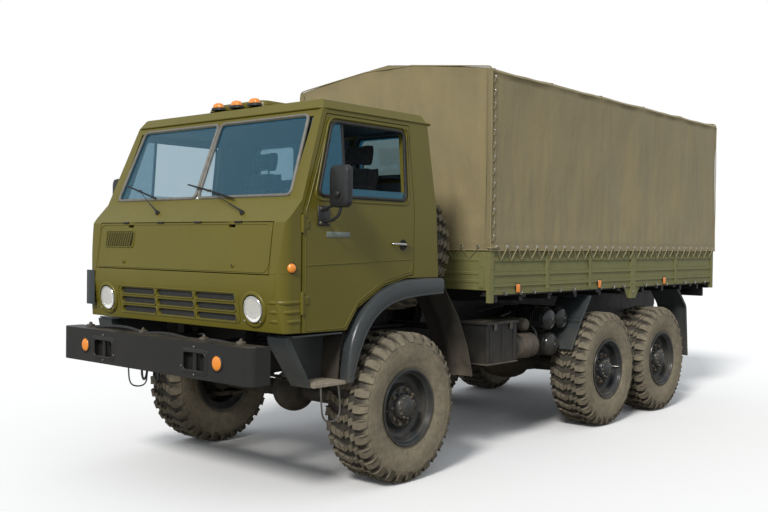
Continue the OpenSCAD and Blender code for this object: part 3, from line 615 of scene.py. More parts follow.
def block(f, a, y, wide, long, s):
    """Square tread block at angle a, set at a slant."""
    rings = []
    crown = TYRE_R - 1 - abs(y) / 50
    for r, grown in ((569, 1.12), (crown - 7, 1.0), (crown, 0.84)):
        w, l, skew = wide / 2 * grown, long / 2 * grown / crown, 0.016 * s
        rings.append([(r, a - l - skew, y - w), (r, a + l - skew, y - w), (r, a + l + skew, y + w),
            (r, a - l + skew, y + w)])
    # less dust, hence darker, towards the block's root
    lug(f, rings, (0.06, 0.50, 0.70))


def rim_mesh():
    """Disc wheel with its hub; the outer face is towards +y."""
    f = Form()
    hub = Vector()
    # Rolled lip, well and deep dish as one skin of revolution
    outer = [(176, 306), (183, 311), (189, 309), (190, 302), (186, 296), (176, 291), (160, 276), (150, 268),
        (120, 266),
             (96, 262), (78, 254), (66, 238), (62, 215), (66, 190), (80, 176), (96, 168), (106, 162), (110,
                 150),
             (108, 118), (110, 112), (120, 106), (148, 102), (160, 96), (168, 84), (174, 74), (182, 66), (186,
                 52), (188, 20), (188, 0.1)]
    inner = [(-60, 0.1), (-60, 120), (20, 150), (20, 225), (-150, 235), (-158, 262), (-176, 291), (-186, 296),
        (-189, 309), (-180, 311), (-172, 306), (-150, 274), (150, 274)]
    f.lathe(outer + inner, hub, Y, 72, loop=True)
    f.torus((0, 182, 0), Y, 297, 7, 72, 10)
    f.torus((0, 170, 0), Y, 279, 4, 72, 8)
    # Nuts of the disc, bolts of the hub and its cap
    f.use = 1
    for i in range(10):
        f.nut(polar(142, math.tau * (i + 0.5) / 10, 106), Y, 30, 24)
    for i in range(12):
        f.bolt(polar(86, math.tau * i / 12, 162), Y, 10, 14)
    f.use = 0
    f.lathe([(160, 70), (184, 68), (192, 56), (197, 38), (199, 12), (199.5, 0.1)], hub, Y, 48)
    for i in range(6):
        f.box((-9, 110, 112), (9, 132, 128), 3)
        f.turn(Matrix.Rotation(math.tau * i / 6, 4, "Y"), len(f.v) - 24)
    # Valve
    f.use = 2
    f.tube([(0, 100, 235), (0, 150, 246), (0, 175, 262)], 5, 8)
    return f.mesh("rim", 30, local=True)


def make_wheels():
    tyre, rim = tyre_mesh(), rim_mesh()
    tyre.materials.append(MAT["tyre"])
    for m in ("rim", "nut", "steel"):
        rim.materials.append(MAT[m])
    spots = []
    for row, (word, x) in enumerate((("front", 0), ("middle", MIDDLE), ("rear", REAR))):
        for column, (side, s) in enumerate(SIDES):
            # each wheel stopped a quarter turn further on
            turn = math.pi / 2 * (2 * row + column + 1)
            flip = Matrix.Rotation(0 if s > 0 else math.pi, 4, "Z") @ Matrix.Rotation(turn, 4, "Y")
            spots.append((word + "_" + side, "wheel_" + word[0] + side[0], "wheel_" + word + "_" + side,
                          Matrix.Translation(metres((x, s * WHEEL_Y, TYRE_R))) @ flip))
    spots.append(("spare", "chassis", "spare_wheel",
                  Matrix.Translation(metres((-860, 350, 1900))) @ Matrix.Rotation(math.pi / 2, 4, "Z")))
    for word, body, node, at in spots:
        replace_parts(place(tyre, "tyre_" + word, body, (), at), node)
        place(rim, "rim_" + word, body, (), at)
    # Stand of the spare wheel
    f = Form()
    f.box((-1150, -432, 1120), (-1080, 760, 1180), 6)
    for y in (120, 520):
        f.box((-1150, y, 1179), (-1090, y + 60, 2060), 5)
        f.box((-1085, y - 20, 1178), (-1045, y + 80, 1230), 4)
    f.box((-1150, 120, 1860), (-1090, 580, 1940), 5)
    f.tube([(-1090, 350, 1900), (-870, 350, 1900)], 58, 24)
    f.piece("spare_stand", "chassis", "black", slot="black_steel")


# ---------------------------------------------------------------- canvas

# The tilt: half its width, heights of its hem, eaves and ridge, its ends,
# its bows and the eyelets' spacing
HALF, HEM, EAVE, RIDGE = 1250, 1862, 3525, 3685
FRONT, BACK = -1236.2, -6408
BOWS = [-1286 - i * 1004.8 for i in range(6)]
EYELETS = 172


def tilt_line(n_side=30, n_roof=16):
    """Points (y, z) over the bows from the left hem to the right, eaves rounded."""
    r = 46
    out = [(HALF, HEM + (EAVE - r - HEM) * i / (n_side - 1)) for i in range(n_side)]
    slope = math.atan2(RIDGE - EAVE, HALF)
    for i in range(1, 7):
        a = (math.pi / 2 - slope) * i / 6
        out.append((HALF - r * (1 - math.cos(a)), EAVE - r + r * math.sin(a)))
    y0, z0 = out[-1]
    for i in range(1, n_roof + 1):
        t = i / n_roof
        out.append((y0 * (1 - t), z0 + (RIDGE - 3 - z0) * (1 - (1 - t) ** 1.12)))
    return out + [(-y, z) for y, z in reversed(out[:-1])]


def fold_noise(x, z, seed, size):
    """Folds of about this size, longer up the cloth than across it."""
    return noise.noise(Vector((x / size, seed, z / (size * 2.4))))


def make_canvas():
    """The big sheet: taut over the bows and at its hem, slack in between."""
    line = tilt_line()
    steps = 260
    verts, seam = [], []
    seams_x = (-1278, -3512, -5720)
    for i in range(steps + 1):
        x = FRONT - 3 + (BACK - FRONT + 6) * i / steps
        gap = min(abs(x - b) for b in BOWS)
        for y, z in line:
            low = max(0.0, min(1.0, (EAVE - z) / (EAVE - HEM)))
            sag = 3 + 15 * min(1.0, gap / 330)
            if z < EAVE - 40:
                side = math.copysign(1, y)
                out = Y * side
                depth = -sag * max(0.0, math.sin(math.pi * min(1, low * 1.02)))
                # tension folds that run up from the lacing
                pull = math.cos((x + 1246) * math.tau / EYELETS) * 2.6 * max(0, low - 0.72) / 0.28
                long = fold_noise(x + side * 900, z, 3.1 + side,
                    310) * 15 * math.sin(math.pi * min(1, low * 0.96 + 0.02)) ** 0.6
                fine = fold_noise(x * 1.3, z * 0.8, 8.4 + side, 120) * 6 * (0.25 + low)
                dent = fold_noise(x * 0.5, z * 2.2, 5.2 + side, 420) * 8 * (1 - abs(2 * low - 1))
                depth += long + fine + dent - 6 + pull - 2.5 * (low > 0.97)
                depth = min(depth, 1.5)
                # no deeper than the boards and bows behind it leave room for
                free = 7 + max(0, z - 1985) * 0.15
                depth = max(depth, -min(free, 8 + gap * 0.12))
            else:
                out = Vector((0, y / HALF * 0.13, 1)).normalized()
                depth = -sag * (1 - abs(y) / HALF * 0.6) + fold_noise(x, y, 1.7, 260) * 5 - 2
                depth = max(min(depth, 0), -(8 + gap * 0.12))
            verts.append(metres(Vector((x, y, z)) + out * depth))
            near = min(abs(x - q) for q in seams_x)
            seam.append(max(0.0, 1 - near / 14) * (1 if z < EAVE else 0.6) + (0.35 if low > 0.955 and z < EAVE else 0))
    sheet = cloth("tilt_sheet", verts, len(line), seam)
    parts = [hem_rope(), eyelets_and_lacing(), seam_strips()]
    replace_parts(sheet, "tilt")
    end_sheets()


def cloth(name, verts, m, seam):
    """Sheet from rows of m points, with a share of seam at each point."""
    faces = [(a, a + 1, a + m + 1, a + m) for a in range(len(verts) - m) if (a + 1) % m]
    mesh = bpy.data.meshes.new(name)
    mesh.from_pydata(verts, [], faces)
    for p in mesh.polygons:
        p.use_smooth = True
    layer = mesh.attributes.new("seam", "FLOAT", "POINT")
    layer.data.foreach_set("value", seam)
    return place(mesh, name, "chassis", ("canvas",))


def end_sheets():
    """Front wall and rear curtain, each a slack sheet under the roof line."""
    for name, x0, low, half, sign in (("tilt_front_wall", FRONT, HEM, HALF - 2, 1),
            ("tilt_rear_curtain", -6355, 1905, HALF - 14, -1)):
        cols, rows = 90, 60
        verts, seam = [], []
        for i in range(cols + 1):
            y = half * (2 * i / cols - 1)
            top = RIDGE - 6 - (RIDGE - EAVE + 8) * abs(y) / HALF
            foot = low if sign > 0 or abs(y) < 1128 else 1968
            for j in range(rows + 1):
                t = j / rows
                z = foot + (top - foot) * t
                edge = min(1.0, (half - abs(y)) / 60) * min(1.0, t / 0.05 + 0.25) * min(1.0, (1 - t) / 0.04)
                fold = fold_noise(y * 1.1, z, 12.5 * sign, 170) * 13 + fold_noise(y, z, 4.4 * sign,
                    520) * 14 - 8
                pull = math.cos(y * math.tau / EYELETS) * 3 * max(0, 0.22 - t) / 0.22
                room = 5 + max(0, z - 2080) * 0.12
                x = x0 + sign * (max(-room, min(0, fold * edge)) + pull * (1 if sign > 0 else 0) - 2)
                verts.append(metres((x, y, z)))
                near = min(abs(abs(y) - 1190), abs(abs(y) - 1225)) if sign > 0 else abs(y)
                seam.append(max(0.0, 1 - near / 9) * 0.7 + (0.35 if t < 0.04 else 0))
        obj = cloth(name, verts, rows + 1, seam)


def hem_rope():
    """Rope along the hem, and the turned hem itself."""
    f = Form()
    for s in (-1, 1):
        pts = [(x, s * (HALF - 3 + 1.5 * math.sin(x / 60)), HEM + 3 + 2.2 * math.sin(x / 171))
            for x in range(-6402, -1240, 24)]
        f.tube(pts, 6.5, 8)
        # thicker turned hem above the rope
        section = ((-0.5, 8), (0.5, 30), (-1, 62), (-5.5, 62), (-5.5, 8))
        f.rings([[(x, s * (HALF + y), HEM + z) for y, z in section] for x in range(-6404, -1238, 40)])
    pts = [(FRONT - 2, y, HEM + 3 + 2 * math.sin(y / 140)) for y in range(-1244, 1245, 24)]
    f.tube(pts, 6.5, 8)
    return f.piece("tilt_hem", "chassis", "canvas", slot="canvas")


def eyelets_and_lacing():
    """Metal eyelets along the hem, and the rope that zigzags from them to
    hooks on the boards."""
    f, hooks = Form(), Form()
    pitch, count = EYELETS, 30
    for s in (-1, 1):
        line = []
        for i in range(count):
            x = -1330 - pitch * i
            eye = (x, s * (HALF + 3), HEM + 34 + 3 * math.sin(i * 2.1))
            f.use = 0
            f.torus(eye, Y, 12, 4.2, 14, 6)
            line.append((x + 4, eye[1] + s * 2, eye[2] - 2))
            foot = HEM - 88 - 9 * math.sin(i * 1.7)
            if i < count - 1:
                half = x - pitch * 0.5
                line += [(x - pitch * 0.2, s * (HALF + 4), HEM - 8),
                    (half + 7 * math.sin(i), s * (HALF - 9), foot),
                         (x - pitch * 0.8, s * (HALF + 4), HEM - 8)]
                hooks.tube([(half, s * (HALF - y), foot + z) for y,
                    z in ((26, 22), (16, 16), (12, -2), (18, -8))], 4, 6)
        f.use = 1
        f.tube(line, 6, 6)
    line = []
    for i in range(-6, 7):
        y = i * 185
        f.use = 0
        f.torus((FRONT + 2, y, HEM + 34), X, 12, 4.2, 14, 6)
        line.append((FRONT + 5, y, HEM + 30))
        if i < 6:
            line.append((FRONT + 2, y + 92, HEM - 72 + 6 * math.sin(i * 3)))
    f.use = 1
    f.tube(line, 4.2, 6)
    # Lacing down the front corners
    for s in (-1, 1):
        line = []
        for k in range(13):
            z = 3440 - k * 120
            f.use = 0
            f.torus((FRONT - 52, s * (HALF + 1), z), Y, 9, 3.2, 12, 6)
            line += [(FRONT - 52, s * (HALF + 4), z), (FRONT - 20, s * (HALF + 2), z - 52),
                (FRONT - 46, s * (HALF + 3), z - 60)]
        f.use = 1
        f.tube(line, 3.6, 6)
        loose = [(FRONT + 6, s * (HALF - 30), HEM + 26), (FRONT + 10, s * (HALF + 6), HEM + 22),
            (FRONT - 60, s * (HALF + 10), HEM + 30), (FRONT - 130, s * (HALF + 6), HEM + 36)]
        f.tube(loose, 6, 8, smooth=2)
    hooks.piece("lacing_hooks", "chassis", "bed", slot="bed_paint")
    return f.piece("tilt_lacing", "chassis", "chrome", "rope", slot="canvas")


def seam_strips():
    """Piping down the corners and over both ends of the roof."""
    f = Form()
    for s in (-1, 1):
        # piping where the front wall meets the sides
        for x, inset, sway, wave, foot, r, sides in ((FRONT - 4, 5, 1.5, 90, 0, 7, 8),
                (FRONT - 1, 62, 2, 130, 10, 3.2, 6),
                                                     (BACK + 6, 5, 1.5, 90, 0, 6, 8)):
            f.tube([(x, s * (HALF - inset + sway * math.sin(z / wave)), z)
                for z in range(HEM + foot, EAVE - 20, 30)], r, sides)
    for x in (FRONT - 4, BACK + 6):
        top = [(x, HALF - 8, EAVE - 30), (x, HALF - 24, EAVE + 2), (x, HALF - 60, EAVE + 12), (x, 0, RIDGE - 8),
               (x, 60 - HALF, EAVE + 12), (x, 24 - HALF, EAVE + 2), (x, 8 - HALF, EAVE - 30)]
        f.tube(top, 6.5, 8, smooth=1)
    return f.piece("tilt_piping", "chassis", "canvas", slot="canvas")


# ---------------------------------------------------------------- flares

# The arch's outer and inner lines as (x, z), from the step to the back
ARCH = [(656, 868), (654, 965), (642, 1060), (612, 1180), (548, 1310), (440, 1432), (300, 1532), (140, 1596),
    (-40, 1626), (-300, 1634), (-508, 1632)]
INNER = [(600, 868), (590, 930), (560, 1010), (520, 1110), (455, 1225), (372, 1325), (262, 1398), (140, 1446),
    (-20, 1476), (-250, 1492), (-500, 1500)]


def make_flares():
    """Front arches, the liners behind them and the rear guards."""
    for word, s in SIDES:
        f = Form()
        outer = round_corners(ARCH, 60, 4, loop=False)
        n = len(outer)
        rings = []
        for i, o in enumerate(outer):
            t = i / (n - 1)
            k = t * (len(INNER) - 1)
            a = int(min(k, len(INNER) - 2))
            q = Vector(INNER[a]).lerp(Vector(INNER[a + 1]), k - a)
            # section from the cab's side over the crown to the lip and under it:
            # (share of the way from outer to inner line, y, rise)
            section = ((0, 1196, 2), (0, 1252, 1), (0.005, 1272, -6), (0.14, 1283, 0), (0.55, 1289, 0),
                (0.86, 1289, 0),
                       (1, 1284, 0), (1, 1272, -2), (1, 1240, 10), (1, 1150, 24), (0.6, 1150, 0))
            rings.append([(o.lerp(q, k).x, s * y, (o.y if k < 0.01 else o.lerp(q, k).y) + dz) for k, y,
                dz in section])
        f.rings(rings)
        # bead along the inner edge
        f.tube([(p[0] + 8, s * 1285, p[1] + 8) for p in round_corners(INNER, 60, 4, loop=False)], 7, 8)
        # arch liner seen behind the wheel
        f.use = 1
        liner = [(-590, 1515), (-500, 1600), (-60, 1606), (190, 1552), (480, 1408), (640, 1180), (668, 860)]
        line = round_corners(liner, 90, 5, loop=False)
        rings = []
        for i, p in enumerate(line):
            wave = p.y + 4 * math.sin(i * 1.3)
            rings.append([(p.x, s * 560, wave - 22), (p.x, s * 1180, wave - 18),
                (p.x * 1.01, s * 1180, p.y - 8), (p.x * 1.01, s * 560, p.y - 10)])
        f.rings(rings)
        # Rear guard with a pressed ridge
        guard = round_corners([(-560, 1590), (-596, 1512), (-780, 1278), (-902, 1036), (-980, 800),
            (-988, 748)], 60, 4, loop=False)
        section = ((0, 860, 0), (0, 1236, 0), (5, 1240, -2), (5, 1080, -2), (16, 1060, -6), (16, 1010, -6),
            (5, 990, -2), (5, 860, -2))
        f.rings([[(p.x + dx, s * y, p.y + dz) for dx, y, dz in section] for p in guard])
        f.tube([(p.x + 2, s * 1238, p.y) for p in guard], 6, 6)
        for x, z in ((-690, 1396), (-850, 1150)):
            for y in (900, 1190):
                f.bolt((x + 6, s * y, z), (0.8, 0, -0.6), 9, 7)
        # Screws along the flange
        f.use = 2
        for i in range(8):
            p = outer[int((n - 1) * (i + 0.5) / 8)]
            f.bolt((p.x * 0.985, s * 1282, p.y - 26), (0, s, 0), 6, 5)
        o = f.piece("flare_" + word, "chassis", "flare", "muddy", "nut", slot="black_plastic", angle=50)
        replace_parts(o, "fender_" + word)


def make_mudguards():
    """Guards between the rear wheels and behind them, edge beads and stays."""
    for word, s in SIDES:
        f = Form()
        for axle, d, path in ((MIDDLE, 1, ((215, 1392), (420, 1130), (600, 850))),
                (REAR, -1, ((670, 1392), (900, 1180), (960, 560)))):
            line = round_corners([(axle + d * x, z) for x, z in path], 40, 4, loop=False)
            section = ((0, 852, -8), (0, 1234, -8), (6, 1236, 0), (6, 852, 0))
            f.rings([[(p.x + d * dx, s * y, p.y + dz) for dx, y, dz in section] for p in line])
            f.tube([(p.x + d * 2, s * 1231, p.y - 3) for p in line], 7, 8)
            f.tube([(p.x + d * 2, s * 856, p.y - 3) for p in line], 5, 8)
            # side cheek of the guard towards the wheel
            cheek = [Vector((p.x, s * 1226, p.y)) for p in line] + [Vector((p.x - d * 22, s * 1226, p.y - 12))
                for p in reversed(line)]
            f.rings([cheek, [q + Vector((0, s * 6, 0)) for q in cheek]])
            for k in (0.2, 0.5, 0.8):
                p = line[int(k * (len(line) - 1))]
                f.tube([(p.x + d * 10, s * 856, p.y + 3), (p.x + d * 10, s * 1230, p.y + 3)], 5, 6)
        f.box((-2838, s * 430, 942), (-2792, s * 860, 998), 4)
        f.box((-5598, s * 430, 1042), (-5542, s * 864, 1098), 4)
        for x, z in ((-2815, 998), (-5570, 1098)):
            for y in (560, 800):
                f.bolt((x, s * y, z), Z, 10, 7)
        o = f.piece("guards_" + word, "chassis", "flare", "muddy", "steel", slot="black_steel", angle=50)
        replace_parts(o, "mudguards_" + word)


# ------------------------------------------------------------- cab front

SCREEN_LOW, SCREEN_HIGH = Vector((1115, 0, 2227)), Vector((841, 0, 2924))
SCREEN_LONG = (SCREEN_HIGH - SCREEN_LOW).length
SCREEN_OUT = Y.cross(SCREEN_HIGH - SCREEN_LOW).normalized()


def on_screen(y, t, out=0.0):
    """Point on the windscreen's plane; t is 0 at its foot and 1 at its head."""
    return SCREEN_LOW.lerp(SCREEN_HIGH, t) + Y * y + SCREEN_OUT * out


def screen_outline(half0, half1, low, high, r):
    """Outline of one pane as (y, t) with rounded corners."""
    pts = [(half0, low), (half1[0], low), (half1[1], high), (half0, high)]
    flat = round_corners([(y, t * SCREEN_LONG) for y, t in pts], r, 6)
    return [(p.x, p.y / SCREEN_LONG) for p in flat]


def make_windscreen():
    """Two flat panes in rubber on either side of the middle bar."""
    seal, panes = Form(), Form()
    for s in (-1, 1):
        ring = screen_outline(s * 16, (s * 1098, s * 1038), 0.055, 0.935, 52)
        # rubber bead round the pane, and a lip outside it
        seal.tube([on_screen(y, t, -3) for y, t in ring], 14, 10, loop=True)
        seal.tube([on_screen(y, t, 7) for y, t in screen_outline(s * 20, (s * 1094, s * 1034), 0.060, 0.930,
            48)], 4.5, 8, loop=True)
        panes.rings([[on_screen(y, t, out) for y, t in ring] for out in (-16, -10)])
    seal.piece("screen_seal", "chassis", "seal", slot="black_plastic", angle=60)
    o = panes.piece("screen_panes", "chassis", "glass", slot="glass", angle=30)
    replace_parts(o, "windscreen")


def make_wipers():
    """Two wipers: pivot and cap on the cowl, arm, yoke and rubber blade."""
    f = Form()
    for pivot, blade in (((1192, -385, 2143), ((-1022, 0.235), (-514, 0.055))),
            ((1205, 692, 2130), ((-133, 0.205), (502, 0.02)))):
        foot = Vector(pivot)
        f.lathe([(-16, 20), (8, 20), (14, 15), (26, 14), (30, 8)], foot, (0.68, 0, 0.73), 16)
        a, b = on_screen(*blade[0], 24), on_screen(*blade[1], 24)
        mid = a.lerp(b, 0.5)
        f.rings([[foot.lerp(mid, k) + Vector((dx + px, py, dz + px)) for px,
            py in ((0, -w), (0, w), (h, w), (h, -w))]
                 for k, dx, dz, w, h in ((0, 14, 18, 13, 10), (0.32, 16, 12, 11, 12), (0.36, 16, 12, 7, 7),
                         (1, 12, 6, 5, 6))])
        f.tube([a, mid + Vector((3, 0, 1)), b], 6, 6)
        f.tube([a.lerp(b, k) + Vector((2 * dz, 0, dz)) for k, dz in ((0.02, 2), (0.25, 6), (0.5, 9), (0.75, 6),
            (0.98, 2))], 5, 6)
        f.box(mid + Vector((0, -18, -4)), mid + Vector((22, 18, 14)), 4)
    f.piece("wipers", "chassis", "rubber", slot="black_plastic")


def slot_shape(f, x, y, z, w, h, depth):
    """A slot with rounded ends and a rolled rim, facing forward, closed by a flat black face that is painted shade in
    the opening.
    """
    outer = round_rect(w, h, h / 2 - 1, 6)
    f.rings([[(x + dx, y + p[0] * (w + 2 * k) / w, z + p[1] * (h + 2 * k) / h) for p in outer]
             for k, dx in ((9, -1.5), (6, 3), (0, 2), (-3, -depth))], caps=False)
    # painted shade: a flat black face deep in the slot stands in for the shade inside the opening
    f.use = 1
    f.add([(x - depth * 0.7, y + p[0] * (w - 3) / w, z + p[1] * (h - 3) / h) for p in outer],
        [range(len(outer))])
    f.use = 0


LAMP_Z = 1430


def nose_at(z):
    """x of the front panel's face at a height."""
    return lerp([(1268, 1275), (1581, 1318), (1688, 1311), (2062, 1267), (2227, 1115)], z)


def make_front():
    """Grille, headlamps, corner panels with their lamps, and the deflector."""
    f = Form()
    for z in (LAMP_Z - 76, LAMP_Z, LAMP_Z + 76):
        for y in (-496, 0, 496):
            slot_shape(f, nose_at(z) + 1, y, z, 470, 50, 26)
    # Pressed border round the grille
    ring = round_corners([(-770, 1318), (770, 1318), (770, 1542), (-770, 1542)], 40, 6)
    f.tube([(nose_at(p.y) + 1, p.x, p.y) for p in ring], 5, 8, loop=True)
    f.piece("grille_slots", "chassis", "cab", "rubber", slot="cab_paint", angle=40)
    # Headlamps
    lamp, clear, bright = Form(), Form(), Form()
    for s in (-1, 1):
        at = Vector((nose_at(LAMP_Z), s * 934, LAMP_Z))
        face = (0.99, 0, -0.136)
        lamp.use = 0
        lamp.lathe([(-6, 136), (4, 136), (12, 130), (16, 120), (14, 110), (2, 106), (-20, 104)], at, face, 56)
        lamp.use = 1
        lamp.lathe([(-18, 103), (6, 103), (15, 99), (17, 93), (12, 90), (0, 90)], at, face, 56)
        bright.lathe([(-3, 90), (-22, 82), (-52, 60), (-70, 26), (-74, 0.1)], at + X * 2, face, 48)
        bright.lathe([(-70, 12), (-30, 12), (-24, 9), (-22, 0.1)], at + X * 2, face, 20)
        clear.lathe([(8, 93), (14, 91), (22, 70), (27, 40), (29, 0.1)], at, face, 56)
        for i in range(4):
            a = math.tau * (i + 0.5) / 4
            lamp.bolt(at + Vector((12, 122 * math.cos(a), 122 * math.sin(a))), face, 7, 5)
    o = lamp.piece("headlamp_rings", "chassis", "cab", "chrome", slot="lamp_glass", angle=50)
    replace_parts(o, "headlamps")
    bright.piece("headlamp_bowls", "chassis", "chrome", slot="lamp_glass", angle=60, solid=False)
    clear.piece("headlamp_lenses", "chassis", "lens", slot="lamp_glass", angle=60)
    # Corner lamps, wrap-around ribbed panels, side deflectors
    g = Form()
    for s in (-1, 1):
        g.use = 0
        for z in (1352, 1420, 1488):
            x = nose_at(z)
            path = round_corners([(x - 3, 1082), (x - 3, 1180), (x - 50, 1240), (1124, 1240)], 70, 6,
                loop=False)
            rings = []
            for i, q in enumerate(path):
                bend = min(1, max(0, (i - 1) / (len(path) - 3)))
                out = Vector((0.99, 0.1)).lerp(Vector((0, 1)), bend).normalized()
                out *= 0.2 if i in (0, len(path) - 1) else 1
                rings.append([(q.x + out.x * k, s * (q.y + out.y * k), z + dz)
                              for k, dz in ((-4, -17), (6, -13), (9, 0), (6, 13), (-4, 17))])
            g.rings(rings)
        g.use = 1
        lamp = (1215, s * 1236, 1735), (0.45, s * 0.89, 0), 24
        g.lathe([(-4, 40), (6, 40), (10, 36)], *lamp)
        g.use = 2
        g.lathe([(6, 34), (18, 31), (26, 20), (28, 0.1)], *lamp)
    g.piece("corner_panels", "chassis", "cab", "rubber", "amber", slot="cab_paint", angle=60)
    # Air deflector at the right corner
    d = Form()
    d.rings([[(x, y, z) for x, y in ((1322, -1112), (1334, -1130), (1332, -1220), (1300, -1262), (1286, -1262),
        (1306, -1216), (1310, -1136))] for z in (1366, 1500, 1660)])
    d.piece("corner_deflector", "chassis", "flare", slot="black_plastic", angle=60)


def make_hood():
    """Slanted louvre, pressed seam and locks of the front lid."""
    f = Form()
    y0, y1, z0, z1 = -993, -591, 1865, 1997
    ring = round_corners([(y0, z0), (y1, z0), (y1, z1), (y0, z1)], 14, 4)
    f.tube([(nose_at(p.y) + 2, p.x, p.y) for p in ring], 6, 8, loop=True)
    # painted shade: the dark rubber bars between the fins stand in for the shade in the louvre's openings
    f.use = 1
    n = 12
    for i in range(n):
        y = y0 + 24 + (y1 - y0 - 48) * i / (n - 1)
        f.tube([(nose_at(z0) + 4, y - 10, z0 + 12), (nose_at(z1) + 4, y + 10, z1 - 12)], 5.5, 6)
    f.use = 0
    for i in range(n - 1):
        y = y0 + 24 + (y1 - y0 - 48) * (i + 0.5) / (n - 1)
        f.tube([(nose_at(z0) + 6, y - 10, z0 + 12), (nose_at(z1) + 6, y + 10, z1 - 12)], 7, 6)
    f.piece("lid_louvre", "front_lid", "cab", "rubber", slot="cab_paint", angle=60)
    g = Form()
    edge = round_corners([(-1092, 1700), (1092, 1700), (1092, 2050), (-1092, 2050)], 70, 8)
    g.tube([(nose_at(p.y) + 0.5, p.x, p.y) for p in edge], 4.5, 8, loop=True)
    g.piece("lid_edge", "front_lid", "cab", slot="cab_paint", angle=60)
    h = Form()
    for y in (-700, 700):
        h.use = 0
        h.lathe([(-2, 19), (5, 19), (8, 16), (9, 9)], (nose_at(1745), y, 1745), (0.99, 0, 0.12), 24)
        h.use = 1
        h.box((nose_at(1745) + 6, y - 3, 1734), (nose_at(1745) + 13, y + 3, 1756), 2)
    for y in (-720, -240, 240, 720):
        h.tube([(1270, y - 40, 2066), (1270, y + 40, 2066)], 8, 10)
    h.piece("lid_locks", "front_lid", "cab", "black", slot="cab_paint", angle=50)
    # Bulkhead seen when the lid is up
    w = Form()
    w.box((1130, -1080, 1660), (1136, 1080, 2090), 2)
    for y in (-720, -240, 240, 720):
        w.box((1134, y - 20, 1680), (1146, y + 20, 2070), 4)
    w.piece("lid_bulkhead", "chassis", "cab", slot="cab_paint")


def tiers(f, outline, levels, mid=(0, 0)):
    """Flat-lying shape built up of its outline at each (z, share of its size)."""
    f.rings([[(mid[0] + p[0] * k, mid[1] + p[1] * k, z) for p in outline] for z, k in levels])


def make_roof():
    """Marker lamps on the front edge, hatch and gutter."""
    f = Form()
    for y in (-164, 68, 292):
        f.use = 0
        tiers(f, round_rect(84, 128, 36, 5), ((3020, 1.05), (3034, 1.0), (3042, 0.92)), (750, y))
        f.use = 1
        tiers(f, round_rect(68, 108, 31, 5), ((3040, 1.0), (3058, 0.95), (3074, 0.78), (3082, 0.42),
            (3084, 0.1)), (750, y))
    f.piece("roof_lamps", "chassis", "rubber", "amber", slot="lamp_glass", angle=60)
    # Raised hatch with hinges and a pressed rim
    g = Form()
    tiers(g, round_rect(450, 700, 70, 6), ((3024, 1.06), (3034, 1.05), (3036, 1.0), (3062, 0.99), (3074, 0.96),
        (3077, 0.90)), (475, 0))
    g.tube([(475 + p[0], p[1], 3040) for p in round_rect(452, 702, 70, 6)], 5, 8, loop=True)
    for y in (-200, 200):
        g.tube([(246, y - 45, 3052), (246, y + 45, 3052)], 9, 10)
    g.piece("roof_hatch", "chassis", "cab", slot="cab_paint", angle=50)
    # Gutter along the roof
    h = Form()
    rail = round_corners([(848, -1166, 2926), (848, 1166, 2926), (-470, 1166, 2926), (-470, -1166, 2926)], 60,
        6)
    h.tube(rail, 9, 8, loop=True)
    h.piece("roof_gutter", "chassis", "cab", slot="cab_paint", angle=60)


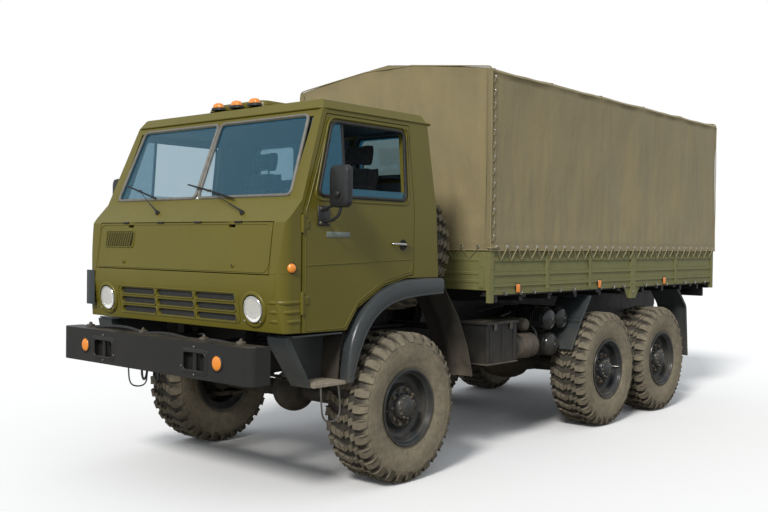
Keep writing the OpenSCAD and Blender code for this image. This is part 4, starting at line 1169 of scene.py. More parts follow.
def make_bumper():
    """The frame's bumper with a rounded skin, and what is bolted to it."""
    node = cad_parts["front_bumper"]
    mesh = node.data.copy()
    mesh.materials.clear()
    mesh.materials.append(MAT["bumper"])
    bm = bmesh.new()
    bm.from_mesh(mesh)
    bmesh.ops.remove_doubles(bm, verts=bm.verts, dist=0.0002)
    bmesh.ops.dissolve_limit(bm, angle_limit=0.01, verts=bm.verts, edges=bm.edges)
    # the front face goes back, so that its lamps stay inside the CAD box
    cad_face, face = 1580, 1566
    front = metres((face, 0, 0))[0]
    for v in bm.verts:
        if v.co.x > metres((cad_face, 0, 0))[0] - 0.002:
            v.co.x -= (cad_face - face) / 1000
    ends = []
    for e in bm.edges:
        a, b = (v.co for v in e.verts)
        if all(abs(p.x - front) < 0.002 and abs(p.y) > 1.15 for p in (a, b)) and abs(a.z - b.z) > 0.1:
            ends.append(e)
    bmesh.ops.bevel(bm, geom=ends, offset=0.055, segments=6, affect="EDGES", profile=0.5)
    bm.to_mesh(mesh)
    bm.free()
    skin = place(mesh, "bumper_skin", "chassis", ())
    ease_edges(skin, 12, 3, 35)
    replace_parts(skin, "front_bumper")
    f = Form()
    for y in (-590, 590):
        f.use = 0

        def pocket(dx, grown):
            return [(face + dx, *p) for p in round_rect(260 + 2 * grown, 140 + 2 * grown, 30, 6, (y, 1043))]
        f.tube(pocket(-1, 0), 8, 8, loop=True)
        f.tube(pocket(-2, 22), 6, 8, loop=True)
        f.rings([pocket(dx, grown) for dx, grown in ((-3, 28), (4, 20), (5, 6), (-2, 1))], caps=False)
        f.use = 1
        for z in (948, 1150):
            f.bolt((face, y, z), X, 9, 7)
        f.bolt((face, y + (150 if y < 0 else -150), 1000), X, 9, 7)
    f.use = 2
    for y in (-111, 48):
        f.tube([(1500, y - 34, 925), (1502, y - 36, 880), (1506, y - 14, 838), (1508, y + 16, 838),
            (1506, y + 36, 880), (1500, y + 34, 925)], 9, 10, smooth=2)
    f.piece("bumper_trim", "chassis", "bumper", "steel", "rubber", slot="black_steel", angle=50)
    g = Form()
    for y in (-851, 851):
        g.use = 0
        g.lathe([(-6, 66), (2, 66), (8, 62), (9, 56), (1, 54)], (face, y, 1053), X, 40)
        g.use = 1
        g.lathe([(0, 53), (4, 52), (9, 42), (12, 24), (13, 0.1)], (face, y, 1053), X, 36)
    g.piece("bumper_lamps", "chassis", "rubber", "amber", slot="lamp_glass", angle=60)
    # Hoses seen over the bumper
    h = Form()
    for y0, y1, z in ((-900, -200, 1190), (-300, 420, 1176), (300, 980, 1168)):
        h.tube([(1440, y0, z), (1400, (y0 + y1) / 2, z + 26), (1430, y1, z - 6)], 15, 8, smooth=3)
    h.use = 1
    for y in (-1010, -250, 520, 940):
        h.box((1390, y - 26, 1150), (1450, y + 26, 1206), 6)
        h.nut((1420, y, 1205), Z, 26, 14)
    h.piece("bumper_hoses", "chassis", "rubber", "dusty", slot="black_steel", angle=50)


# ----------------------------------------------------------------- doors

# Window opening and edge of the door as (x, z)
WINDOW = [(-50, 2265), (-70, 2825), (762, 2825), (945, 2265)]
DOOR = [(-150, 1668), (-150, 2880), (800, 2880), (1080, 2207), (1105, 2147), (1105, 1253), (648, 1253),
    (505, 1448), (215, 1596), (-60, 1655)]


def door_y(z, out=0.0):
    """The door's outer face: upright to the belt, then leaning in."""
    return lerp([(1200, 1240), (2227, 1240), (2924, 1175)], z) + out


def make_doors():
    """Trim, lining and glass of both doors, then what is beside them."""
    for word, s in SIDES:
        body = word + "_door"
        f = Form()
        # Window frame: rubber channel and a pressed border round it
        ring = round_corners(WINDOW, 60, 6)
        f.use = 1
        f.tube([(p.x, s * door_y(p.y, 0), p.y) for p in ring], 13, 8, loop=True)
        f.use = 0
        f.tube([(p.x, s * door_y(p.y, -1), p.y) for p in round_corners(grow(WINDOW, 34), 76, 6)], 8, 8,
            loop=True)
        # Vent pane divider
        f.use = 1
        f.rings([[(655 + dx, s * (door_y(z) - 10 + dy), z) for dx,
            dy in ((-11, -8), (11, -8), (11, 8), (-11, 8))] for z in (2272, 2820)])
        # Pressed panel line at mid height and a border along the door's edge
        f.use = 0
        f.tube([(1080, s * 1240, 1752), (600, s * 1241, 1766), (-120, s * 1240, 1790)], 4.5, 8)
        f.tube([(p.x, s * door_y(p.y, -0.5), p.y) for p in round_corners(grow(DOOR, -26), 34, 5)], 5, 8,
            loop=True)
        # Handle in its recess
        f.use = 1
        f.lathe([(-3, 44), (4, 44), (6, 38), (2, 34)], (-12, s * 1240, 1907), (0, s, 0), 32)
        f.use = 2
        f.tube([(-30, s * 1240, 1907), (-24, s * 1266, 1910), (20, s * 1275, 1913), (110, s * 1270, 1915),
            (128, s * 1250, 1915)], [12, 12, 10, 9, 6], 10, smooth=2)
        # Blank plate
        f.use = 3
        f.box((614, s * 1238, 1957), (867, s * 1243.5, 2001), 1.5)
        # Hinges at the front edge
        f.use = 0
        for z in (1500, 2050):
            f.lathe([(-60, 15), (60, 15), (64, 10)], (1112, s * 1240, z), Z, 16)
            f.box((1040, s * 1238, z - 36), (1106, s * 1245, z + 36), 3)
            for dz in (-20, 20):
                f.bolt((1060, s * 1244, z + dz), (0, s, 0), 8, 5)
        f.piece("door_trim_" + word, body, "cab", "rubber", "chrome", "plate", slot="cab_paint", angle=50)
        # Inner lining
        g = Form()
        g.box((-100, s * 1176, 1720), (1020, s * 1192, 2190), 8)
        g.box((100, s * 1150, 1980), (600, s * 1178, 2040), 12)
        g.tube([(200, s * 1172, 2110), (210, s * 1140, 2110), (380, s * 1140, 2110), (390, s * 1172, 2110)], 10,
            8, smooth=2)
        g.piece("door_lining_" + word, body, "interior", slot="interior_plastic")
        # Window glass: vent pane shut, the other wound down
        h = Form()
        for pane in ([(668, 2270), (930, 2270), (762, 2818), (668, 2818)],
                [(-44, 2250), (644, 2250), (644, 2330), (-46, 2330)]):
            h.rings([[(x, s * door_y(z, -12) + d, z) for x, z in pane] for d in (-2, 2)])
        h.piece("door_glass_" + word, body, "glass", slot="glass", angle=30)
    make_mirrors()
    step_wells()


def grow(points, d):
    """Moves each corner of a polygon outward by d along its bisector."""
    pts = [Vector(p) for p in points]
    area = sum(a.x * b.y - b.x * a.y for a, b in zip(pts, pts[1:] + pts[:1]))
    turn = 1 if area > 0 else -1
    out = []
    for i, p in enumerate(pts):
        a, b = (p - pts[i - 1]).normalized(), (pts[(i + 1) % len(pts)] - p).normalized()
        na, nb = Vector((a.y, -a.x)) * turn, Vector((b.y, -b.x)) * turn
        n = (na + nb).normalized()
        out.append(p + n * d / max(0.4, n.dot(na)))
    return out


def make_mirrors():
    """Mirror heads on two arms each, with a bracket on the door."""
    for word, s in SIDES:
        f = Form()
        c = Vector((880, s * 1397, 2330))
        shape = round_rect(190, 310, 46, 6)
        f.rings([[c + Vector((dx, p[0] * k * s, p[1] * k)) for p in shape]
                 for dx, k in ((34, 0.86), (26, 0.96), (4, 1.0), (-16, 1.0), (-24, 0.97), (-24, 0.9),
                         (-14, 0.88))])
        # Bracket with four bolts on the door
        f.box((838, s * 1238, 2040), (962, s * 1250, 2190), 5)
        f.use = 1
        for x, z in product((858, 942), (2062, 2168)):
            f.nut((x, s * 1250, z), (0, s, 0), 20, 10)
        f.use = 0
        f.tube([(900, s * 1250, 2160), (896, s * 1320, 2190), (884, s * 1385, 2200), (880, s * 1400, 2240)], 12,
            10, smooth=2)
        f.tube([(900, s * 1250, 2075), (896, s * 1330, 2080), (884, s * 1395, 2130), (880, s * 1400, 2240)], 12,
            10, smooth=2)
        f.lathe([(-10, 20), (14, 20), (18, 14)], c + Vector((34, 0, -60)), X, 20)
        f.use = 2
        glass_ring = [c + Vector((-17, p[0] * 0.87 * s, p[1] * 0.87)) for p in shape]
        f.rings([glass_ring, [p + X * 2 for p in glass_ring]])
        o = f.piece("mirror_" + word + "_trim", word + "_door", "plastic", "nut", "chrome",
            slot="black_plastic", angle=45)
        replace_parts(o, "mirror_" + word)


def step_wells():
    """Black step well between the front corner and the flare, its dusty
    tread plate, and the hoop that hangs under it."""
    for word, s in SIDES:
        f = Form()
        plate = [(980, 1240), (940, 1004), (668, 1004), (646, 1248)]
        f.rings([[(x, s * y, z) for x, y in grow(plate, k)] for z,
            k in ((852, -3), (855, 0), (877, 0), (880, -3))])
        f.rings([[(x, s * y, z) for x, y in grow(plate, -16)] for z in (880, 884)])
        for k in range(9):
            for j in range(6):
                f.lathe([(-2, 8), (3, 8), (5, 5)], (690 + k * 30 + (j % 2) * 12, s * (1030 + j * 34), 882), Z,
                    6)
        f.use = 1
        # Forward wall, inner wall and the face under the door
        f.rings([[(x, s * y, z) for x, z in ((1228, 1236), (1216, 1180), (985, 850), (955, 850), (1150, 1170),
            (1190, 1236))] for y in (1000, 1196)])
        f.rings([[(x, s * y, z) for x, z in ((1200, 1240), (960, 860), (660, 860), (650, 1240))]
            for y in (985, 1000)])
        f.rings([[(x, s * y, z) for y, z in ((1236, 1248), (1236, 1236), (1004, 1220), (1004, 1232))]
            for x in (680, 1190)])
        f.tube([(1222, s * 1198, 1236), (1210, s * 1198, 1178), (984, s * 1198, 852)], 7, 8)
        f.use = 2
        f.tube([(900, s * 1228, 856), (894, s * 1232, 720), (884, s * 1232, 640), (850, s * 1230, 596),
            (770, s * 1228, 582), (712, s * 1230, 600), (694, s * 1232, 660), (700, s * 1232, 760), (716,
            s * 1228, 856)], 7, 8, smooth=2)
        f.piece("cab_step_" + word, "chassis", "pale", "flare", "steel", slot="black_plastic", angle=40)


# ------------------------------------------------------------- cab inside

REAR_WINDOW = (680, 2670)    # y and z of the left one's middle


def make_rear_windows():
    """Seals and panes of the two windows in the cab's back."""
    seal, pane = Form(), Form()
    for s in (-1, 1):
        ring = round_rect(556, 336, 62, 6, (s * REAR_WINDOW[0], REAR_WINDOW[1]))

        def on_wall(out):
            return [(lerp([(1650, -480), (2924, -400)], z) + out, y, z) for y, z in ring]
        seal.tube(on_wall(-2), 13, 8, loop=True)
        seal.tube(on_wall(45), 11, 8, loop=True)
        pane.rings([on_wall(14), on_wall(19)])
    seal.piece("rear_window_seals", "chassis", "rubber", slot="black_plastic", angle=60)
    pane.piece("rear_window_panes", "chassis", "glass", slot="glass", angle=30)


def make_cabin():
    """Dashboard, steering wheel, linings and mats."""
    # Dashboard: cowl, binnacle, vents and switches
    f = Form()
    cowl = round_corners([(770, 2012), (764, 2170), (800, 2212), (1056, 2216), (1062, 2012)], 22, 4)
    f.rings([[(p.x, y, p.y) for p in cowl] for y in (-1150, 1150)])
    binnacle = round_corners([(700, 2120), (716, 2262), (800, 2290), (960, 2222), (960, 2120)], 26, 4)
    f.rings([[(p.x, y, p.y) for p in binnacle] for y in (360, 380, 820, 840)])
    f.box((756, -560, 2040), (772, 200, 2150), 5)
    f.use = 1
    for y in (460, 600, 740):
        f.lathe([(0, 52), (6, 50), (8, 44), (3, 42)], (712, y, 2196), (-0.98, 0, 0.18), 28)
    for y in (-900, -700, 960, 1080):
        for k in range(4):
            f.box((764, y - 50, 2090 + 18 * k), (770, y + 50, 2098 + 18 * k), 1.5)
    for k in range(6):
        f.box((752, -500 + 70 * k, 2070), (762, -470 + 70 * k, 2110), 3)
    o = f.piece("dash_trim", "chassis", "interior", "plastic", slot="interior_plastic")
    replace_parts(o, "dashboard")
    # Steering wheel and its column
    w = Form()
    axis = Vector((-0.5, 0, 0.866))
    c = Vector((620, 600, 2230))
    w.torus(c, axis, 222, 14, 64, 10)
    for k in range(4):
        a = k * math.pi / 2 + 0.5
        d = Y * math.cos(a) + axis.cross(Y) * math.sin(a)
        w.tube([c - axis * 34 + d * 30, c - axis * 22 + d * 120, c + d * 216], [11, 9, 8], 8, smooth=1)
    w.lathe([(-60, 42), (-30, 52), (-16, 50), (-8, 40), (-6, 0.1)], c, axis, 32)
    w.tube([c - axis * 40, c - axis * 360], 26, 16)
    o = w.piece("steering_rim", "chassis", "plastic", slot="black_plastic", angle=50)
    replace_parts(o, "steering_wheel")
    # Headlining, rear lining, pillars' trim, cab floor mat
    g = Form()
    g.box((-420, -1090, 2870), (760, 1090, 2890), 8)
    for s in (-1, 1):
        ring = round_rect(590, 370, 76, 6, (s * REAR_WINDOW[0], REAR_WINDOW[1]))
        g.tube([(-352, p[0], p[1]) for p in ring], 16, 8, loop=True)
    g.box((-344, -1060, 1800), (-330, 1060, 2440), 8)
    g.box((-344, -340, 2440), (-330, 340, 2840), 8)
    g.box((-350, -1150, 1742), (1000, 1150, 1752), 3)
    for s in (-1, 1):
        g.tube([on_screen(s * 1128, 0.04, -30), on_screen(s * 1072, 0.96, -30)], 17, 8)
        g.rings([[(x, s * y, z) for x, y in ((690, 60), (780, 60), (780, 520), (690, 520))]
            for z in (2842, 2866)])
    g.piece("cab_lining", "chassis", "interior", slot="interior_plastic")


SEATS = [("driver", 600, 520), ("right", -600, 520), ("middle", 0, 420)]    # y and width


def cushion_mesh(name, w, l, h, channels, crown):
    """Padded cushion: x long, y wide, z thick, with sewn channels across."""
    n = 44
    bm = bmesh.new()
    grid = {}
    for side in (1, -1):
        for i, j in product(range(n + 1), repeat=2):
            a, b = 2 * i / n - 1, 2 * j / n - 1
            fill = (1 - abs(a) ** 7) ** 0.5 * (1 - abs(b) ** 7) ** 0.5
            z = side * h / 2 * fill
            if side > 0:
                z += crown * (1 - a * a) * (1 - b * b)
                for c in channels:
                    z -= 13 * math.exp(-((a - c) / 0.045) ** 2) * fill
                for c in (-0.62, 0.62):
                    z -= 9 * math.exp(-((b - c) / 0.05) ** 2) * fill
            z += noise.noise(Vector((a * 4, b * 4, side * 3.0 + w / 100))) * 3.5 * fill
            # both sides share the points of the rim
            key = (side if fill > 1e-6 else 0, i, j)
            if key not in grid:
                grid[key] = bm.verts.new((a * l / 2000, b * w / 2000, z / 1000))
        for i, j in product(range(n), repeat=2):
            corners = ((i, j), (i + 1, j), (i + 1, j + 1), (i, j + 1))[::side]
            bm.faces.new([grid.get((side, *c)) or grid[(0, *c)] for c in corners])
    mesh = bpy.data.meshes.new(name)
    bmesh.ops.recalc_face_normals(bm, faces=bm.faces)
    for face in bm.faces:
        face.smooth = True
    bm.to_mesh(mesh)
    bm.free()
    return mesh


def puff(obj):
    """Blows a cushion up with cloth pressure so its skin takes real creases."""
    steps, most = 16, 0.014
    cloth_mod = obj.modifiers.new("Cloth", "CLOTH")
    st = cloth_mod.settings
    st.use_pressure = True
    st.uniform_pressure_force = 4
    st.effector_weights.gravity = 0
    st.quality = 6
    st.tension_stiffness = 25
    st.shear_stiffness = 12
    cloth_mod.point_cache.frame_start, cloth_mod.point_cache.frame_end = 1, steps
    before = [v.co.copy() for v in obj.data.vertices]
    scene = bpy.context.scene
    for k in range(1, steps + 1):
        scene.frame_set(k)
    shot = obj.evaluated_get(bpy.context.evaluated_depsgraph_get())
    after = [v.co.copy() for v in shot.to_mesh().vertices]
    shot.to_mesh_clear()
    obj.modifiers.remove(cloth_mod)
    for v, a, b in zip(obj.data.vertices, before, after):
        step = b - a
        v.co = a + step * min(1, most / max(step.length, 1e-9))
    scene.frame_set(1)


def make_seats():
    """Three seats; those of one width share their meshes."""
    x = 110
    sets = {}
    for name, y, w in SEATS:
        if w not in sets:
            sets[w] = (cushion_mesh("cushion_%d" % w, w - 10, 545, 120, (-0.35, 0.1, 0.5), 10),
                       cushion_mesh("backrest_%d" % w, w - 20, 520, 100, (-0.4, 0.0, 0.4), 8),
                       cushion_mesh("headrest_%d" % w, min(300, w - 120), 170, 84, (), 6))
            for mesh in sets[w]:
                mesh.materials.append(MAT["seat"])
        for mesh, word, dx, z, tilt in zip(sets[w], ("cushion", "backrest", "headrest"), (25, -232, -282),
                (1972, 2300, 2668), (0, 82, 82)):
            at = Matrix.Translation(metres((x + dx, y, z))) @ Matrix.Rotation(math.radians(tilt), 4, "Y")
            obj = place(mesh, "seat_%s_%s" % (name, word), "chassis", (), at)
            if not mesh.get("blown"):
                puff(obj)
                mesh["blown"] = 1
            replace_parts(obj, "seats")
        f = Form()
        # Piping, frame, rails and the headrest's posts
        f.tube([(x - 238, y - w / 2 + 12, 1972), (x + 288, y - w / 2 + 12, 1972),
            (x + 292, y + w / 2 - 12, 1972), (x - 238, y + w / 2 - 12, 1972)], 5, 8, loop=True, smooth=2)
        f.use = 1
        f.box((x - 230, y - w / 2 + 30, 1868), (x + 270, y + w / 2 - 30, 1908), 8)
        for dy in (-w / 2 + 60, w / 2 - 90):
            f.box((x - 220, y + dy, 1750), (x + 260, y + dy + 30, 1776), 4)
            for foot, head in ((-180, -150), (220, 190)):
                f.tube([(x + foot, y + dy + 15, 1770), (x + head, y + dy + 15, 1872)], 12, 8)
        f.use = 2
        for dy in (-60, 60):
            f.tube([(x - 268, y + dy, 2530), (x - 280, y + dy, 2640)], 8, 8)
        f.piece("seat_%s_frame" % name, "chassis", "seat", "plastic", "steel", slot="black_plastic")


# ---------------------------------------------------------------- the bed

# The boards: x of their posts, heights of their ribs and of their foot, outer face
POSTS = (-1277, -2245, -3090, -4090, -5230, -6342)
RIBS = (1530, 1634, 1764)
BOARD_LOW, BOARD_Y = 1458, 1226.2


def make_bed():
    """Ribs, posts, latches, hooks and markers of the boards."""
    f = Form()
    low, y = BOARD_LOW, BOARD_Y
    for s in (-1, 1):
        f.use = 0
        # rolled edges of the pressed ribs
        for z, dz in product(RIBS, (3, 39)):
            for xa, xb in zip(POSTS, POSTS[1:]):
                f.tube([(xa - 34, s * (y + 7.5), z + dz), (xb + 34, s * (y + 7.5), z + dz)], 4, 6)
        f.tube([(-1240, s * (y + 9), low + 24), (-6380, s * (y + 9), low + 24)], 4, 6)
        # post caps
        for x in POSTS:
            f.box((x - 30, s * (y + 2), low + 4), (x + 30, s * (y + 14.5), 1820), 3)
            for z in (1500, 1700):
                f.bolt((x, s * (y + 14), z), (0, s, 0), 9, 7)
        # trapezoid bracket under the centre post
        f.rings([[(POSTS[3] + a, s * yy, z) for a, z in ((-190, 1452), (190, 1452), (98, 1332), (-98, 1332))]
            for yy in (1212, 1222)])
        f.lathe([(-4, 30), (8, 30), (12, 24), (12, 12)], (POSTS[3], s * 1221, 1400), (0, s, 0), 24)
        f.use = 1
        f.nut((POSTS[3], s * 1232, 1400), (0, s, 0), 24, 12)
        # latches on the lower rail between the posts
        for x in (-1500, -1760, -2000, -2480, -2760, -3330, -3620, -3860, -4400, -4700, -4960, -5500, -5800,
                -6100):
            hoop = ((-22, 12, 40), (-24, 17, 10), (0, 18, -14), (24, 17, 10), (22, 12, 40))
            f.tube([(x + dx, s * (y + dy), low + dz) for dx, dy, dz in hoop], 5, 6, smooth=1)
        # cross members' ends and the rail along them
        f.use = 2
        for x in (-1420, -1840, -2360, -2880, -3400, -3920, -4440, -4960, -5480, -6000, -6340):
            f.box((x - 28, s * 440, 1380), (x + 28, s * 1190, 1440), 5)
        f.box((-6380, s * 1120, 1440), (-1260, s * 1196, 1456), 4)
    f.piece("board_trim", "chassis", "bed", "steel", "black", slot="bed_paint", angle=40)
    # Front board, then the side markers
    h = Form()
    for z in (1566, 1640, 1764):
        h.box((-1247, -1130, z), (-1240, 1130, z + 28), 3)
    for y0 in (-1150, -380, 380, 1150):
        h.box((-1247, y0 - 30, 1520), (-1238, y0 + 30, 1846), 3)
        for z in (1545, 1720):
            h.bolt((-1238, y0, z), X, 8, 5)
    h.piece("front_board_trim", "chassis", "bed", slot="bed_paint", angle=40)
    g = Form()
    for s, x in product((-1, 1), (-1713, -3300, -4901)):
        g.use = 0
        g.box((x - 36, s * (y + 6), 1462), (x + 36, s * (y + 15), 1556), 3)
        g.use = 1
        g.rings([[(x + p[0] * k, s * (y + out), 1509 + p[1] * k) for p in round_rect(60, 82, 12, 4)]
                 for out, k in ((14, 1.0), (20, 0.94), (23, 0.7))])
    # Tail lamps on the rear cross member
    for s in (-1, 1):
        g.use = 0
        g.box((-6360, s * 760, 1270), (-6312, s * 1120, 1379), 8)
        for k, yy in enumerate((820, 940, 1060)):
            g.use = 1 if k == 0 else 2
            g.lathe([(0, 44), (10, 42), (18, 30), (21, 0.1)], (-6358, s * yy, 1325), (-1, 0, 0), 28)
    g.piece("marker_lamps", "chassis", "rubber", "amber", "red", slot="lamp_glass", angle=50)
    # Planks of the bed
    p = Form()
    for y0 in range(-1190, 1190, 170):
        p.box((-6368, y0 + 3, 1557), (-1276, y0 + 167, 1566), 3)
    p.piece("bed_planks", "chassis", "planks", slot="bed_paint")
    # Tailgate: rib edges, straps and latches
    t = Form()
    for z, dz in product(RIBS, (3, 37)):
        t.tube([(-6408, -1100, z + dz), (-6408, 1100, z + dz)], 4, 6)
    for y0 in (-900, 900):
        t.box((-6411, y0 - 30, 1540), (-6399, y0 + 30, 1800), 3)
        for z in (1580, 1720):
            t.bolt((-6411, y0, z), -X, 9, 6)
    t.use = 1
    for y0 in (-1080, 1080):
        t.tube([(-6404, y0, 1860), (-6416, y0, 1850), (-6416, y0, 1790), (-6404, y0, 1780)], 8, 8, smooth=1)
    t.piece("gate_trim", "rear_gate", "bed", "steel", slot="bed_paint", angle=40)


def make_under():
    """Air tanks, drum, boxes, fuel tank's trim, frame bolts, axle housings."""
    f = Form()
    for x, z in ((-2545, 1165), (-2790, 1165), (-2600, 905)):
        f.use = 0
        f.lathe([(0, 119), (380, 119.5), (470, 119), (500, 117), (520, 111), (538, 98), (550, 78), (556, 50),
            (558, 20), (559, 0.1)], (x, 561, z), Y, 56)
        f.torus((x, 1043, z), Y, 118.5, 2.5, 56, 6)
        f.use = 1
        f.lathe([(0, 15), (6, 15), (8, 11)], (x, 1117, z), Y, 6)
        f.use = 2
        for y in (700, 724, 930, 954):
            f.torus((x, y, z), Y, 121, 4, 48, 6)
    o = f.piece("tank_skins", "chassis", "tank", "steel", "black", slot="black_steel", angle=50)
    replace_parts(o, "air_tanks")
    # Drum lengthwise with straps, filter above it, pipes
    g = Form()
    g.lathe([(0, 20), (2, 100), (10, 118), (24, 124), (200, 125), (396, 124), (410, 118), (418, 100),
        (420, 20)], (-1870, 1015, 920), -X, 56)
    for x in (-1960, -1990, -2190, -2220):
        g.torus((x, 1015, 920), X, 126, 5, 56, 6)
    g.lathe([(0, 30), (2, 56), (10, 62), (440, 62), (500, 60), (514, 50), (519, 20)], (-2130, 561, 1130), Y, 40)
    g.torus((-2130, 1020, 1130), Y, 62, 4, 40, 6)
    g.box((-2780, 432, 982), (-2042, 560, 1079), 5)
    g.box((-2109, 556, 986), (-2051, 960, 1039), 4)
    g.box((-2149, 556, 1038), (-2111, 600, 1089), 4)
    g.use = 1
    g.tube([(-2330, 1000, 1100), (-2330, 1060, 1040), (-2316, 1075, 960), (-2300, 1080, 900)], 13, 8, smooth=2)
    g.tube([(-2400, 600, 1240), (-2250, 800, 1260), (-2100, 900, 1240), (-1960, 880, 1210)], 11, 8, smooth=2)
    g.tube([(-2545, 700, 1286), (-2400, 720, 1310), (-2200, 700, 1300), (-1900, 640, 1240)], 9, 8, smooth=2)
    g.piece("drum_and_pipes", "chassis", "dusty", "rubber", slot="black_steel", angle=50)
    # Battery box: lid with a rolled edge, hasps, ribs, straps
    b = Form()
    b.box((-1812, 858, 1178), (-1288, 1192, 1200), 7)
    b.tube([(-1812, 1192, 1182), (-1288, 1192, 1182), (-1288, 860, 1182)], 6, 8)
    b.box((-1801, 868, 800), (-1299, 1182, 822), 5)
    for x in (-1740, -1550, -1360):
        b.box((x - 16, 1178, 830), (x + 16, 1187, 1150), 3)
    b.use = 1
    b.tube([(-1803, 1185, 812), (-1297, 1185, 812), (-1297, 866, 812)], 6, 8)
    for x in (-1680, -1420):
        b.box((x - 22, 1188, 1120), (x + 22, 1197, 1188), 3)
        b.bolt((x, 1196, 1140), Y, 8, 6)
    b.piece("battery_trim", "chassis", "black", "dusty", slot="black_steel")
    # Fuel tank: rolled seams, straps, filler and ribs on its end
    t = Form()
    outline = round_rect(600, 560, 90, 7)

    def tank_ring(x, k=1.0, shape=outline):
        return [(x, -880 + p[0] * k, 900 + p[1] * k) for p in shape]
    for x, out in ((-2168, -4), (-1072, 4)):
        t.tube(tank_ring(x), 9, 8, loop=True)
        t.tube(tank_ring(x + out, shape=round_rect(470, 430, 70, 6)), 7, 8, loop=True)
    t.use = 1
    for x in (-1970, -1270):
        for edge in (x - 26, x + 26):
            t.tube(tank_ring(edge, 1.01), 5, 6, loop=True)
        t.rings([tank_ring(x - 26, 1.008), tank_ring(x + 26, 1.008)], caps=False)
    t.use = 2
    t.lathe([(-10, 50), (28, 50), (30, 56), (50, 56), (54, 48), (56, 0.1)], (-1240, -960, 1176), Z, 36)
    t.piece("tank_trim", "chassis", "tank", "black", "steel", slot="black_steel", angle=45)
    # Bolts along the frame's rails, pipes and brake hoses
    c = Form()
    for s in (-1, 1):
        c.use = 0
        for k in range(34):
            c.bolt((1240 - k * 220, s * 432, 940 + 120 * (k % 2)), (0, s, 0), 12, 9)
        c.use = 1
        c.tube([(1200, s * 300, 1135), (600, s * 360, 1150), (-400, s * 350, 1146), (-1900, s * 380, 1140),
            (-3200, s * 360, 1144), (-5800, s * 340, 1140)], 12, 8, smooth=2)
        c.tube([(700, s * 470, 1060), (420, s * 520, 1010), (200, s * 620, 900), (120, s * 720, 760),
            (60, s * 800, 700)], 10, 8, smooth=2)
    c.piece("rail_bolts", "chassis", "nut", "rubber", slot="black_steel")
    # Rear axles' housings: half the profile, mirrored, and the cover's bolts
    a = Form()
    half = [(820, 78), (640, 82), (420, 88), (300, 110), (240, 168), (150, 208)]
    for x in (MIDDLE, REAR):
        a.lathe([(-h, r) for h, r in half] + [(0, 222)] + half[::-1], (x, 0, TYRE_R), Y, 40)
        for i in range(12):
            t0 = math.tau * i / 12
            a.bolt((x - 150, 150 * math.cos(t0), TYRE_R + 150 * math.sin(t0)), -X, 11, 30)
    a.piece("axle_covers", "chassis", "cast", slot="cast_metal", angle=50)


# ------------------------------------------------- the solids of the frame

def ease_edges(obj, width, segments, angle):
    """Rounds the edges sharper than angle; width in millimetres."""
    mod = obj.modifiers.new("ease", "BEVEL")
    mod.width = width / 1000
    mod.segments = segments
    mod.limit_method = "ANGLE"
    mod.angle_limit = math.radians(angle)
    mod.harden_normals = False
    obj.modifiers.new("normals", "WEIGHTED_NORMAL")


# Material, width of the eased edges and segments across them
FINISH = {
    "chassis_frame": ("black", 4, 2), "cab_shell": ("cab", 9, 3), "cab_roof": ("cab", 24,
        4), "front_panel": ("cab", 8, 3),
    "hood_panel": ("cab", 8, 3), "door_left": ("cab", 7, 3), "door_right": ("cab", 7, 3), "platform": ("black",
        5, 2),
    "side_board_left": ("bed", 4, 2), "side_board_right": ("bed", 4, 2), "front_board": ("bed", 5, 2),
    "tailgate": ("bed", 4, 2), "tilt_bows": ("bed", 4, 2), "battery_box": ("black", 12,
        3), "fuel_tank": ("tank", 10, 3),
    "engine_block": ("cast", 14, 2), "gearbox": ("cast", 14, 2), "front_axle": ("cast", 12,
        2), "middle_axle": ("cast", 8, 2),
    "rear_axle": ("cast", 8, 2), "knuckle_left": ("cast", 8, 2), "knuckle_right": ("cast", 8, 2),
}


def finish_solids():
    """Materials and eased edges on the frame's own solids."""
    for node, obj in sorted(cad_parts.items()):
        mat, width, segments = FINISH.get(node, ("black", 6, 2))
        obj.data.materials.clear()
        obj.data.materials.append(MAT[mat])
        obj.modifiers.new("weld", "WELD").merge_threshold = 0.0001
        ease_edges(obj, width, segments, 30)


# ------------------------------------------------------------------ light

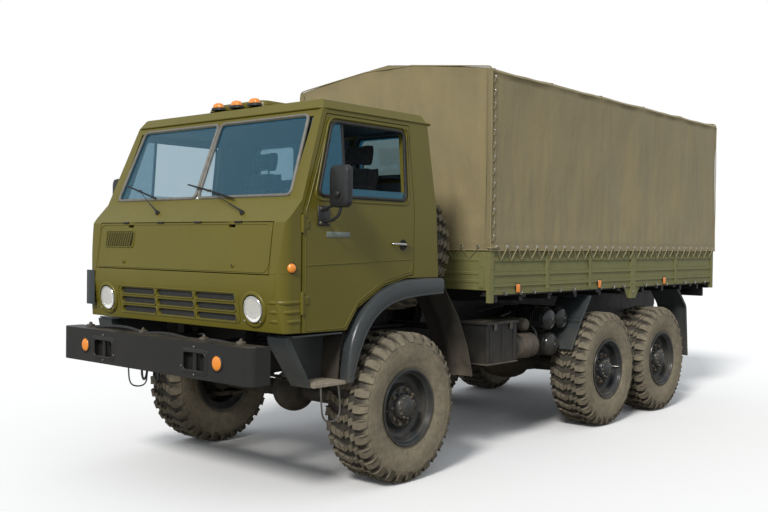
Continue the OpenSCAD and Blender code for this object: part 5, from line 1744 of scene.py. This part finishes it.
def make_light():
    """A low sun, a pale sky, and a white backdrop for the camera and the glass."""
    sun = bpy.data.lights.new("sun", "SUN")
    sun.energy = 2.4
    sun.angle = math.radians(12)
    sun.color = (1.0, 0.975, 0.94)
    obj = bpy.data.objects.new("sun", sun)
    obj.rotation_euler = Vector((-480, -160, -400)).to_track_quat("-Z", "Y").to_euler()
    bpy.context.scene.collection.objects.link(obj)
    world = bpy.data.worlds.new("sky")
    world.use_nodes = True
    bpy.context.scene.world = world
    nodes, links = world.node_tree.nodes, world.node_tree.links
    back = nodes["Background"]
    back.inputs["Color"].default_value = (0.92, 0.96, 1.0, 1)
    back.inputs["Strength"].default_value = 0.62
    plain_back = nodes.new("ShaderNodeBackground")
    plain_back.inputs["Color"].default_value = (1, 1, 1, 1)
    plain_back.inputs["Strength"].default_value = 1.0
    rays = nodes.new("ShaderNodeLightPath")
    seen = nodes.new("ShaderNodeMath")
    seen.operation = "MAXIMUM"
    links.new(rays.outputs["Is Camera Ray"], seen.inputs[0])
    links.new(rays.outputs["Is Transmission Ray"], seen.inputs[1])
    mix = nodes.new("ShaderNodeMixShader")
    links.new(seen.outputs[0], mix.inputs[0])
    links.new(back.outputs[0], mix.inputs[1])
    links.new(plain_back.outputs[0], mix.inputs[2])
    links.new(mix.outputs[0], nodes["World Output"].inputs["Surface"])


def make_floor():
    """White to the camera; greyer in the light that it throws back."""
    half = 60
    mesh = bpy.data.meshes.new("floor")
    mesh.from_pydata([(x * half, y * half, 0) for x, y in ((-1, -1), (1, -1), (1, 1), (-1, 1))], [], [range(4)])
    mat = bpy.data.materials.new("floor")
    mat.use_nodes = True
    nodes, links = mat.node_tree.nodes, mat.node_tree.links
    bsdf = nodes["Principled BSDF"]
    bsdf.inputs["Roughness"].default_value = 0.95
    rays = nodes.new("ShaderNodeLightPath")
    mix = nodes.new("ShaderNodeMix")
    mix.data_type = "RGBA"
    mix.inputs[6].default_value = (0.26, 0.25, 0.23, 1)
    mix.inputs[7].default_value = (1.0, 1.0, 1.0, 1)
    links.new(rays.outputs["Is Camera Ray"], mix.inputs[0])
    links.new(mix.outputs[2], bsdf.inputs["Base Color"])
    mesh.materials.append(mat)
    obj = bpy.data.objects.new("floor", mesh)
    bpy.context.scene.collection.objects.link(obj)


bpy.context.scene.view_settings.view_transform = "Standard"
for make in (make_camera, make_light, make_floor, make_wheels, make_canvas, make_flares, make_mudguards,
             make_windscreen, make_wipers, make_front, make_hood, make_roof, make_bumper, make_doors,
             make_rear_windows, make_cabin, make_seats, make_bed, make_under, finish_solids):
    make()
